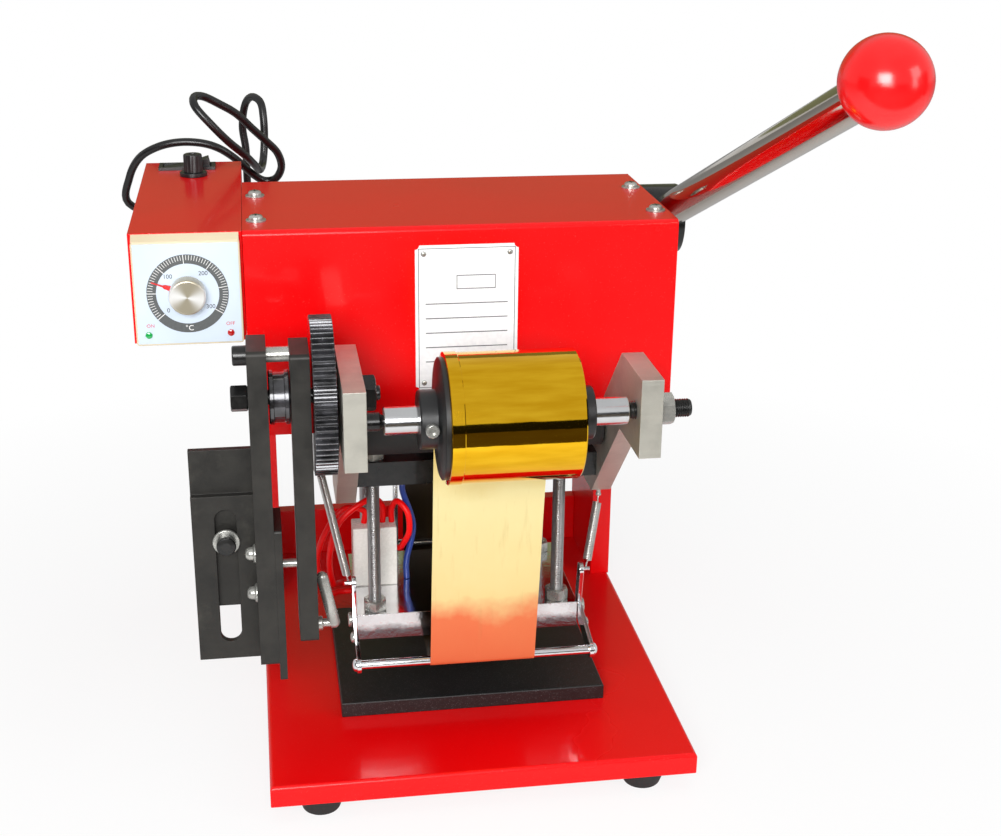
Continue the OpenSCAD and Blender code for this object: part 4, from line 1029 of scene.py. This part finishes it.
class FOILPRESS_OT_lever(Operator):
    """Shaft, hub, tapered rod and ball"""
    bl_idname = "foil_press.lever"
    bl_label = "Lever"

    def execute(self, context):
        for node in ("lever_shaft", "lever_pinions"):
            dress(node, "steel")
        wide = extent("lever_hub").x
        shaft, ball = middle("lever_shaft"), middle("lever_ball")
        hub = [(TIP, 0.0), (25.4, 0.0), (26.5, 0.4), (27.0, 1.5), (27.0, wide - 1.5), (26.5, wide - 0.4),
               (25.4, wide), (10.0, wide), (9.4, wide - 1.2), (TIP, wide - 1.2)]
        spot = Vector((low_of("lever_hub").x, shaft.y, shaft.z))
        heart = Vector((ball.x, shaft.y, shaft.z))
        along = (ball - heart).normalized()
        reach = (ball - heart).length / MM
        rod = [(13.0, 20.0), (13.0, 27.5), (12.95, 40.0), (11.75, reach - 24), (11.75, reach - 12)]
        radius, flat, steps = 24.0, 62, 28
        rises = [math.radians(-flat + (90 + flat) * k / steps) for k in range(steps)]
        sphere = [(radius * math.cos(a), reach + radius * math.sin(a)) for a in rises]
        sphere.append((TIP, reach + radius))
        stand_in("hub_body", turned(hub, spot, RIGHT, 72), "lever_hub", "oxide")
        stand_in("rod_body", turned(rod, heart, along, 72), "lever_rod", "lever")
        stand_in("ball_body", turned(sphere, heart, along, 72), "lever_ball", "ball")
        return {"FINISHED"}


# Controls on the box

CASE_X, CASE_Z = -189.66, 344.95
CASE_FACE = (low_of("controller_case").y - MACHINE.y) / MM
PRINT = 0.25
DIAL_INNER, DIAL_OUTER, DIAL_THICK = 21.0, 27.3, 0.2
DIAL_START, DIAL_SWEEP = math.radians(220.5), math.radians(253)


def on_case(x, lift, z):
    """A point over the controller's front, from its middle and out from its face, in millimetres"""
    return at(CASE_X + x, CASE_FACE - lift, CASE_Z + z)


def facing(spot, turn=0.0):
    """Stands a flat shape up to face the front, turned about its own middle"""
    return Matrix.Translation(spot) @ Matrix.Rotation(math.pi / 2, 4, "X") @ Matrix.Rotation(turn, 4, "Z")


def lettering(name, text, spot, height, finish):
    """Raised print on the controller's front, height in millimetres"""
    font = bpy.data.curves.new(name, "FONT")
    font.body = text
    font.size = height * MM
    font.align_x = "CENTER"
    font.align_y = "CENTER"
    font.extrude = 0.02 * MM
    held = bpy.data.objects.new(name, font)
    mesh = bpy.data.meshes.new_from_object(held)
    bpy.data.objects.remove(held)
    mesh.transform(facing(spot))
    show(name, mesh, "frame", finish)


class FOILPRESS_OT_controls(Operator):
    """Temperature dial, lamps, switch and fuse holder"""
    bl_idname = "foil_press.controls"
    bl_label = "Controls"

    def execute(self, context):
        rounded_copy("controller_case", "ivory", 1.0, 3)
        half = 34.8
        fascia = slab(on_case(-half, PRINT, -half), on_case(half, -0.2, half))
        put("fascia", fascia, "frame", "fascia")
        self.hood()
        self.dial(sizes("detail").ticks)
        lens = [(2.4, 0.0), (2.4, 0.6), (2.1, 1.1), (1.3, 1.4), (TIP, 1.5)]
        for name, x, finish, replaced in (("lamp_green", -27.5, "green lens", ["indicator_lamps"]),
                                          ("lamp_red", 27.5, "red lens", [])):
            put(name, turned(lens, on_case(x, 0, -28.5), FRONT, 28), "frame", finish, replaced)
        self.knob()
        self.box_top()
        return {"FINISHED"}

    def hood(self):
        """Slope from the case's front edge up to the box's top"""
        half, seat = 35.6, 0.3 * MM
        top = high_of("controller_case").z
        low = on_case(-half, -0.4, 0)
        high = on_case(half, 0, 0)
        low.z = top - seat
        high.y = low_of("control_box").y + seat
        high.z = high_of("control_box").z - seat
        wedge = slab(low, high)
        for vert in wedge.verts:
            if vert.co.y == low.y and vert.co.z == high.z:
                vert.co.z = top + seat
        put("case_hood", wedge, "frame", "ivory")

    def dial(self, ticks):
        """Dark band with its marks, numbers and unit, and the names of the lamps"""
        band = [(DIAL_INNER, 0.0), (DIAL_OUTER, 0.0), (DIAL_OUTER, DIAL_THICK), (DIAL_INNER, DIAL_THICK)]
        stand_in("dial_band", turned(band, on_case(0, PRINT, 0), FRONT, 96, closed=True), "dial_ring", "dial")
        marks = []
        count = 2 * (ticks - 1)
        for i in range(count + 1):
            near, far, half = DIAL_INNER + 2.4, DIAL_OUTER - 0.5, 0.16
            if i % 10 == 0:
                near, far, half = DIAL_INNER, DIAL_OUTER, 0.22
            bar = slab((near * MM, -half * MM, 0), (far * MM, half * MM, 0.06 * MM))
            bar.transform(facing(on_case(0, PRINT + DIAL_THICK, 0), DIAL_START - DIAL_SWEEP * i / count))
            marks.append(bar)
        put("dial_marks", join(marks), "frame", "white ink")
        texts = ("0", "100", "200", "300")
        inside, lift = 17.6, PRINT + 0.05
        for k, text in enumerate(texts):
            turn = DIAL_START - DIAL_SWEEP * k / (len(texts) - 1)
            spot = on_case(inside * math.cos(turn), lift, inside * math.sin(turn))
            lettering("dial_" + text, text, spot, 4.2, "dark ink")
        lettering("dial_unit", "°C", on_case(0, 2 * PRINT, -24.2), 5.2, "white ink")
        for name, text, x in (("lamp_on", "ON", -26), ("lamp_off", "OFF", 27.5)):
            lettering(name, text, on_case(x, lift, -22), 3.4, "red ink")

    def knob(self):
        """Knob with a ribbed rim, and its pointer"""
        high = CASE_FACE - (low_of("temperature_knob").y - MACHINE.y) / MM
        rim = [(12.0, 0.4), (12.4, 0.8), (12.4, high - 1.6), (12.0, high - 0.7), (11.4, high - 0.2),
               (11.0, high - 0.1), (10.8, high), (TIP, high)]
        body = turned(rim, on_case(0, 0, 0), FRONT, 120, ribs=lambda k: 0.35 * (k % 2))
        stand_in("knob_body", body, "temperature_knob", "spun", 25)
        edge = [(12.0, 1.7), (16.0, 1.4), (17.5, 0.6), (25.5, 0.35)]
        shape = [(reach, -half) for reach, half in edge] + edge[::-1]
        needle = bmesh.new()
        sole = needle.faces.new([needle.verts.new((a * MM, b * MM, 0.0)) for a, b in shape])
        lifted = bmesh.ops.extrude_face_region(needle, geom=[sole])
        bmesh.ops.translate(needle, vec=(0, 0, 0.5 * MM),
                            verts=[g for g in lifted["geom"] if isinstance(g, bmesh.types.BMVert)])
        needle.transform(facing(on_case(0, 0.9, 0), math.radians(160)))
        put("knob_pointer", needle, "knob", "red ink")

    def box_top(self):
        """Switch and fuse holder"""
        for node, width in (("switch_housing", 0.5), ("switch_rocker", 0.6), ("fuse_holder", 0.5)):
            rounded_copy(node, "black", width)
        tall = extent("fuse_cap").z
        cap = [(6.9, 0.0), (7.3, 0.3), (7.3, tall - 1.4), (6.9, tall - 0.4), (6.2, tall), (3.4, tall),
               (3.2, tall - 0.8), (TIP, tall - 0.8)]
        grip = turned(cap, foot_of("fuse_cap", 2), UP, 48, ribs=lambda k: 0.45 * (k % 4 < 2))
        stand_in("fuse_grip", grip, "fuse_cap", "black")


# Pressing head

# Y and Z of the axes that the foil roll and the feed gear turn on
FOIL_AXIS = (-150, 293)
GEAR_AXIS = (-105, 296)

# Outer faces of the two brackets and of the two links
BRACKET_LEFT, BRACKET_RIGHT = -94.5, 107.5
LINK_FACE = 85.4

# X and Y of the pins that hold the tension springs
LEFT_PIN, RIGHT_PIN = (-106, -50), (99.5, -28)

# Each lead: its finish, its points from the block and its points from the heater
LEAD_BLOCK = Vector((-81, 10, 150.5))
LEAD_HEATER = Vector((-82.5, 0, 92))
LEADS = [
    ("red wire", [(9, 0, 0), (9, 0, 10), (-6, -8, 16), (-20, -12, 0), (-27, -8, -26)],
     [(-20, 6, 4), (-8, 14, 0), (0, 14, 0)]),
    ("red wire", [(23, 0, 0), (23, 0, 14), (12, -12, 24), (-10, -18, 10), (-18, -16, -18)],
     [(-14, 10, 10), (-8, 28, 0), (0, 28, 0)]),
    ("red wire", [(30, 0, 0), (30, -1, 11), (34, -6, 19), (41, -12, 12), (42, -13, -3), (38, -5, -17),
                  (36, 0, -22), (33.5, 0, -22)], []),
    ("blue wire", [(41, 0, -48), (41, 0, -32.5), (46, -3, -2.5), (38, -4, 27.5), (41, 0, 37.5),
                   (41, 0, 53)], []),
]


def thread(spot, along, start, end, major, depth, pitch):
    """A threaded shank between two reaches along an axis, in millimetres"""
    root = major - depth
    profile = [(TIP, start), (root, start)]
    for k in range(int((end - start - pitch) / pitch)):
        base = start + pitch * (k + 0.5)
        profile += [(root, base), (major, base + pitch * 0.42), (major, base + pitch * 0.58)]
    profile += [(root, end - pitch * 0.4), (major - depth * 1.6, end), (TIP, end)]
    return turned(profile, spot, along, 28)


class FOILPRESS_OT_head(Operator):
    """Head plate, brackets, studs, heater and leads"""
    bl_idname = "foil_press.head"
    bl_label = "Pressing head"

    def execute(self, context):
        detail = sizes("detail")
        rounded_copy("head_plate", "oxide", 0.8)
        for node in ("bracket_left", "bracket_right"):
            rounded_copy(node, "aluminium", 0.7)
        rounded_copy("heater_plate", "scuffed", 0.7)
        rounded_copy("terminal_block", "ceramic", 1.2, 3)
        rounded_copy("rack_columns", "steel", 0.2, 1)
        rounded_copy("rear_guide_frame", "dull chrome", 0.3)
        self.hardware(detail.thread / MM)
        self.pivots(detail.thread / MM)
        self.leads(detail.lead_wire)
        self.return_springs()
        return {"FINISHED"}

    def hardware(self, pitch):
        """Studs, nuts, bracket screws and the pins that hold the springs"""
        shanks, nuts, dark, sockets = [], [], [], []
        for x in (-68, 68):
            for y in (-36, 46):
                shanks.append(thread(at(x, y, 0), UP, 90, 233, 4.6, 0.55, pitch))
                nuts += [hex_nut(at(x, y, z), UP, 9.0, 8.0, 4.65) for z in (102, 222)]
        tall, screw_z = 6.0, 213
        head = [(TIP, 0.0), (6.0, 0.0), (6.0, 5.2), (5.6, 5.8), (5.0, tall), (TIP, tall)]
        cap = [(TIP, -3.5), (3.0, -3.5), (3.0, 0.4), (5.5, 0.4), (5.5, 2.0), (4.9, 2.7), (3.4, 2.9),
               (TIP, 2.9)]
        for x, side in ((BRACKET_LEFT, -1), (BRACKET_RIGHT, 1)):
            out = (side, 0, 0)
            for y in (-22, -4):
                dark.append(turned(head, at(x, y, screw_z), out, 32))
                sockets.append(socket_shade_plug(at(x + side * tall, y, screw_z), out, 2.9, 2.0))
            nuts.append(turned(cap, at(side * LINK_FACE, -40, 96), out, 28))
        dark.append(hex_nut(at(-80, *GEAR_AXIS), RIGHT, 12.5, 10.0, 5.0))
        nuts.append(hex_nut(at(BRACKET_RIGHT, *FOIL_AXIS), RIGHT, 11.0, 10.0, 6.0))
        left = [(TIP, 0.0), (3.4, 0.0), (3.4, 7.5), (2.4, 8.5), (2.4, 13.0), (3.6, 13.6), (3.6, 15.5),
                (3.1, 16.0), (TIP, 16.0)]
        right = [(TIP, 0.0), (1.5, 0.0), (1.5, 4.0), (2.0, 4.3), (2.0, 5.6), (1.7, 6.0), (TIP, 6.0)]
        nuts.append(turned(left, at(BRACKET_LEFT, LEFT_PIN[1], 224), LEFT, 28))
        nuts.append(turned(right, at(*RIGHT_PIN, 186), DOWN, 28))
        stand_in("stud_threads", join(shanks), "studs", "stud", SCREW_SMOOTH)
        stand_in("head_nuts", join(nuts), "head_fasteners", "zinc")
        put("head_dark_screws", join(dark), "head", "oxide")
        # Black plugs in the screw heads: painted shade in the hex sockets
        put("head_socket_shades", join(sockets), "head", "rubber")

    def pivots(self, pitch):
        """Screws that the foil shaft turns on: a plain one on the left, a threaded one on the right"""
        spot = at(0, *FOIL_AXIS)
        left = [(TIP, -94.5), (6.0, -94.5), (6.0, -71.5), (4.6, -70.4), (4.0, -69.0), (4.0, -60), (TIP, -60)]
        right = [(TIP, 78.0), (4.0, 78.0), (4.0, 89.0), (5.2, 89.4), (5.2, 92), (TIP, 92)]
        screws = [turned(profile, spot, RIGHT, 32) for profile in (left, right)]
        screws.append(thread(spot, RIGHT, 90, 129.5, 6.0, 0.6, pitch))
        stand_in("pivot_screws", join(screws), "foil_pivot_screws", "oxide", SCREW_SMOOTH)

    def leads(self, radius):
        for k, (finish, high, low) in enumerate(LEADS):
            points = [LEAD_BLOCK + Vector(p) for p in high] + [LEAD_HEATER + Vector(p) for p in low]
            route = smooth_route([at(*p) for p in points], 8)
            replaced = ["heater_leads"] if k == 0 else []
            put("heater_lead_%d" % (k + 1), tube(route, radius, 14), "head", finish, replaced,
                WIRE_SMOOTH)

    def return_springs(self):
        node = "return_springs"
        low, high = low_of(node).z, high_of(node).z
        radius, wire_radius, curls = 4.2 * MM, 0.75 * MM, 22
        springs = []
        for x in (-70, 70):
            foot, top = at(x, 22, 0), at(x, 22, 0)
            foot.z = low + MM
            top.z = high - MM
            springs.append(tube(helix(foot, top, Vector(RIGHT), radius, curls, 16), wire_radius, 8))
        ends = ((MACHINE.x, foot.y, low), (MACHINE.x, foot.y, high))
        put("head_springs", join(springs), ("head", "frame"), "spring", [node],
            WIRE_SMOOTH, ends)


# Foil path

# Steps in the strip's arc round each rod
ARC_STEPS = 8


def right_of(d):
    return (d[1], -d[0])


def heading(angle):
    return (math.cos(angle), math.sin(angle))


def strip_route():
    """Side view of the strip as Y and Z in millimetres: roll, guide rod, rear rods, take-up roller"""
    lap = 0.5
    roll, roll_r = FOIL_AXIS, 42.3 + lap
    rods = [(-88.0, 85.0), (118.0, 80.0), (118.0, 229.0)]
    rod_r = 3.25 + lap
    take, take_r = (-60.0, 247.7), 13.0 + lap

    def bearing(a, b):
        return math.atan2(b[1] - a[1], b[0] - a[0])

    leave = math.asin((roll_r + rod_r) / math.dist(roll, rods[0]))
    arrive = math.asin((take_r + rod_r) / math.dist(rods[2], take))
    turns = [bearing(roll, rods[0]) - leave, bearing(rods[0], rods[1]), bearing(rods[1], rods[2]),
             bearing(rods[2], take) + arrive]
    first = right_of(heading(turns[0]))
    points = [(roll[0] - roll_r * first[0], roll[1] - roll_r * first[1])]
    for rod, a, b in zip(rods, turns, turns[1:]):
        for s in range(ARC_STEPS + 1):
            side = right_of(heading(a + (b - a) * s / ARC_STEPS))
            points.append((rod[0] + rod_r * side[0], rod[1] + rod_r * side[1]))
    last = right_of(heading(turns[-1]))
    points.append((take[0] - take_r * last[0], take[1] - take_r * last[1]))
    return points


def strip_sheet(points, ripple, edges):
    """A thin sheet over a side view, its edges given at both ends, with shallow ripples in its open run"""
    row_step, columns = 4, 24
    rows = []
    for (ya, za), (yb, zb) in zip(points, points[1:]):
        count = max(1, int(math.dist((ya, za), (yb, zb)) / row_step))
        rows += [(ya + (yb - ya) * s / count, za + (zb - za) * s / count) for s in range(count)]
    rows.append(points[-1])
    work = bmesh.new()
    grid = []
    for i, (y, z) in enumerate(rows):
        share = i / (len(rows) - 1)
        left, right = (a + (b - a) * share for a, b in zip(edges[0], edges[1]))
        open_run = ripple * math.sin(math.pi * share) ** 0.7
        line = []
        for k in range(columns + 1):
            u = k / columns
            x = left + (right - left) * u
            wave = math.sin(6.1 * u + 3.3 * share) * 0.5 + math.sin(15 * u - 9 * share) * 0.22
            wave += math.sin(3.2 * u * u + 17 * share) * 0.28
            line.append(work.verts.new(at(x, y - open_run * wave, z)))
        grid.append(line)
    for a, b in zip(grid, grid[1:]):
        for k in range(columns):
            work.faces.new((a[k], a[k + 1], b[k + 1], b[k]))
    return work


class FOILPRESS_OT_foil(Operator):
    """Foil roll on its shaft, and the strip"""
    bl_idname = "foil_press.foil"
    bl_label = "Foil"

    def execute(self, context):
        spot = at(0, *FOIL_AXIS)
        shaft = [(4.2, -68.8), (8.4, -68.8), (9.0, -68.2), (9.0, 87.2), (8.4, 87.8), (4.2, 87.8)]
        left = [(9.0, -47.0), (18.0, -47.0), (19.0, -46.0), (19.0, -36.0), (23.0, -34.4), (37.6, -34.0),
                (39.0, -33.2), (39.0, -30.5), (9.0, -30.5)]
        right = [(9.0, 53.5), (18.6, 53.5), (19.0, 54.0), (19.0, 58.0), (17.4, 59.0), (17.4, 63.6),
                 (16.6, 64.5), (9.0, 64.5)]
        roll = [(13.2, -30.5), (15.0, -30.2), (41.4, -30.5), (42.2, -30.1), (42.25, -22.4), (42.0, -22.0),
                (41.7, -21.9), (41.75, 52.8), (41.3, 53.5), (15.0, 53.2), (13.2, 53.5)]
        screw = [(TIP, 2.0), (2.2, 2.0), (2.2, 4.0), (3.9, 4.0), (4.4, 3.4), (4.4, 0.0), (TIP, 0.0)]
        collars = [turned(part, spot, RIGHT, 72, closed=True) for part in (left, right)]
        stand_in("shaft_body", turned(shaft, spot, RIGHT, 56), "foil_shaft", "dull chrome")
        stand_in("collar_bodies", join(collars), "foil_collars", "black")
        thumb = turned(screw, at(-40, -168.8, FOIL_AXIS[1]), FRONT, 32)
        put("collar_screw", thumb, "foil_reel", "zinc")
        stand_in("roll_body", turned(roll, spot, RIGHT, 96, closed=True), "foil_roll", "roll")
        self.strip()
        return {"FINISHED"}

    def strip(self):
        """Two sheets that meet half-way round the guide rod"""
        points = strip_route()
        rod_at = 1 + ARC_STEPS // 2
        start, rod, far = points[0], points[rod_at], points[2 + ARC_STEPS]
        at_roll, at_rod, at_take = (-31.5, 46.5), (-33.5, 41.5), (-30.5, 45.5)
        slot, flat = slot_of("foil_strip"), 180
        front = strip_sheet(points[:rod_at + 1], 1.0, (at_roll, at_rod))
        rear = strip_sheet(points[rod_at:], 0.4, (at_rod, at_take))
        put("strip_front", front, ("head", "tension_frame"), "strip", ["foil_strip"], flat,
            (at(0, *start), at(0, *rod)))
        # The rear run: used film, its dark finish partly painted shade
        put("strip_rear", rear, ("tension_frame", "head"), "used and shaded strip", [], flat,
            (at(0, *rod), at(0, far[0], rod[1])))


# Feed gear and arm


class FOILPRESS_OT_feed(Operator):
    """Feed gear, take-up roller and the arm that drives them"""
    bl_idname = "foil_press.feed"
    bl_label = "Foil feed"

    def execute(self, context):
        rounded_copy("feed_gear", "gear", 0.25, 1, 50)
        rounded_copy("take_up_roller", "rubber", 0.25, 1, 50)
        for node in ("arm_side_plates", "arm_inner_plate"):
            rounded_copy(node, "arm", 0.9, 3)
        rounded_copy("arm_bracket", "arm", 0.5)
        wide = extent("clutch_drum").x
        half = [(5.2, 0.0), (17.0, 0.0), (18.0, 0.8), (18.0, 3.0), (16.6, 3.4)]
        drum = half + [(radius, wide - reach) for radius, reach in reversed(half)]
        body = turned(drum, foot_of("clutch_drum", 0), RIGHT, 56, closed=True)
        stand_in("drum_body", body, "clutch_drum", "gear")
        self.stub()
        self.bolts()
        return {"FINISHED"}

    def stub(self):
        """Shaft that the gear turns on, with its head"""
        spot = at(0, *GEAR_AXIS)
        head = Vector((low_of("gear_stub_shaft").x, spot.y, spot.z))
        start = (head.x - spot.x) / MM + 8
        end = (high_of("gear_stub_shaft").x - spot.x) / MM
        shank = [(TIP, start), (5.0, start), (5.0, end - 0.8), (4.2, end), (TIP, end)]
        parts = [turned(shank, spot, RIGHT, 32), hex_nut(head, RIGHT, 9.0, 11.0, 3.2)]
        stand_in("stub_body", join(parts), "gear_stub_shaft", "oxide")

    def bolts(self):
        """Tie shaft, pins and screws of the arm"""
        outer, inner = -152.0, -112.5
        arm_y, tie_z, pin_z = GEAR_AXIS[0], 325, 176.5
        slot = at(-171.0, arm_y, 195.0)
        tall, thick = 9.0, 2.0
        tie = [(TIP, outer), (5.0, outer), (5.0, inner), (TIP, inner)]
        pin = [(TIP, -134.5), (3.0, -134.5), (3.0, -125), (TIP, -125)]
        cap = [(6.5, 8.2), (6.0, 8.8), (5.4, tall), (TIP, tall)]
        dome = [(TIP, 0.0), (6.5, 0.0), (6.5, 0.9), (5.6, 1.6), (4.6, 2.0), (4.4, 4.2), (3.8, 5.6),
                (2.6, 6.6), (TIP, 7.0)]
        washer = [(4.0, 0.0), (9.0, 0.0), (9.0, 1.6), (8.6, thick), (4.0, thick)]
        tail = [(TIP, 0.0), (4.0, 0.0), (4.0, 10.0), (9.0, 10.0), (9.0, 16.0), (4.0, 16.0), (4.0, 17.0),
                (TIP, 17.0)]
        bright = [turned(tie, at(0, arm_y, tie_z), RIGHT, 32), turned(pin, at(0, arm_y, pin_z), RIGHT, 28)]
        bright += self.stay(inner, -100, 127, 162)
        bright += [turned(dome, at(outer, -115, z), LEFT, 32) for z in (161, 190)]
        bright.append(turned(washer, slot, FRONT, 40, closed=True))
        dark = [turned([(TIP, 0.0), (6.5, 0.0)] + cap, at(outer, arm_y, tie_z), LEFT, 32),
                turned([(TIP, thick), (6.5, thick)] + cap, slot, FRONT, 40), turned(tail, slot, BACK, 32)]
        socket = socket_shade_plug(slot + Vector(FRONT) * tall * MM, FRONT, 3.4, 3.0)
        stand_in("arm_bright_bolts", join(bright), "arm_bolts", "zinc")
        put("arm_dark_bolts", join(dark), body_of("arm_bolts"), "oxide")
        # Black plug in the cap screw: painted shade in its hex socket
        put("arm_socket_shades", socket, body_of("arm_bolts"), "rubber")

    def stay(self, plate, y, foot_z, top_z, radius=4.0, reach=11.5):
        """A round bar that leans on the plate, and the pin that holds its foot out from it"""
        top = at(plate + radius + 0.1, y, top_z)
        along = (at(plate + reach, y, foot_z) - top) / MM
        run = along.length
        rises = (TIP, 0.4, 0.8, 1.2, math.pi / 2)
        end = [(radius * math.sin(a), radius - radius * math.cos(a)) for a in rises]
        bar = [(r, h - radius) for r, h in end] + [(r, run + radius - h) for r, h in reversed(end)]
        pin = [(TIP, 0.1), (5.0, 0.1), (5.0, 3.0), (4.4, 3.6), (3.0, 3.8), (3.0, reach), (TIP, reach)]
        return [turned(bar, top, along.normalized(), 28), turned(pin, at(plate, y, foot_z), RIGHT, 28)]


# Tension frame


class FOILPRESS_OT_tension(Operator):
    """Links, guide rod and tension springs"""
    bl_idname = "foil_press.tension"
    bl_label = "Tension frame"

    def execute(self, context):
        detail = sizes("detail")
        rounded_copy("tension_links", "chrome", 0.6, 3)
        wide = extent("guide_rod").x
        cap = [(TIP, -1.2), (2.4, -0.9), (4.0, 0.0), (4.8, 1.2), (4.8, 2.0), (3.25, 2.0)]
        rod = cap + [(radius, wide - reach) for radius, reach in reversed(cap)]
        stand_in("rod_bright", turned(rod, foot_of("guide_rod", 0), RIGHT, 40), "guide_rod", "chrome")
        dome = [(TIP, 0.0), (4.0, 0.0), (4.0, 0.8), (3.4, 1.8), (2.0, 2.4), (TIP, 2.6)]
        heads = [turned(dome, at(side * LINK_FACE, -59, 91.6), (side, 0, 0), 28) for side in (-1, 1)]
        put("link_screws", join(heads), body_of("tension_links"), "zinc")
        for node, top, foot, curl in (
                ("tension_spring_left", at(*LEFT_PIN, 220.7), at(-87.9, -46, 130.8), detail.curl),
                ("tension_spring_right", at(*RIGHT_PIN, 179.7), at(87.9, -46, 130.8), detail.curl_right)):
            work = self.spring(top, foot, detail.spring_wire, curl)
            put("wound_" + node, work, ("head", "tension_frame"), "spring", [node],
                WIRE_SMOOTH, (top, foot))
        return {"FINISHED"}

    def spring(self, top, foot, wire_radius, curl):
        """Close-wound wire with a straight hook at each end"""
        along = (foot - top).normalized()
        side = along.cross(Vector(RIGHT)).normalized()
        hook = along * 5 * MM
        curls = int((foot - top - 2 * hook).length / (wire_radius * 2.15))
        route = [top, top + hook * 0.5]
        route += helix(top + hook, foot - hook, side, curl, curls, 12)
        route += [foot - hook * 0.5, foot]
        return tube(route, wire_radius, 7)


# Panel and registration


class FOILPRESS_PT_panel(Panel):
    """Steps that dress the machine"""
    bl_idname = "FOILPRESS_PT_panel"
    bl_label = "Hot foil stamping machine"
    bl_space_type = "VIEW_3D"
    bl_region_type = "UI"
    bl_category = "Foil press"

    def draw(self, context):
        for step in STEPS:
            self.layout.operator(step.bl_idname)


GROUPS = {"foil_press_cord": CordSizes, "foil_press_view": ViewSizes, "foil_press_detail": DetailSizes}
STEPS = [FOILPRESS_OT_stage, FOILPRESS_OT_power_cord, FOILPRESS_OT_cabinet, FOILPRESS_OT_lever,
         FOILPRESS_OT_controls, FOILPRESS_OT_head, FOILPRESS_OT_foil, FOILPRESS_OT_feed, FOILPRESS_OT_tension]


def register():
    for name, group in GROUPS.items():
        bpy.utils.register_class(group)
        setattr(bpy.types.Scene, name, PointerProperty(type=group))
    for step in STEPS + [FOILPRESS_PT_panel]:
        bpy.utils.register_class(step)


def unregister():
    for step in reversed(STEPS + [FOILPRESS_PT_panel]):
        bpy.utils.unregister_class(step)
    for name, group in GROUPS.items():
        delattr(bpy.types.Scene, name)
        bpy.utils.unregister_class(group)


def main():
    register()
    bpy.ops.foil_press.stage()
    bpy.ops.foil_press.power_cord()
    bpy.ops.foil_press.cabinet()
    bpy.ops.foil_press.lever()
    bpy.ops.foil_press.controls()
    bpy.ops.foil_press.head()
    bpy.ops.foil_press.foil()
    bpy.ops.foil_press.feed()
    bpy.ops.foil_press.tension()


if __name__ == "__main__":
    main()
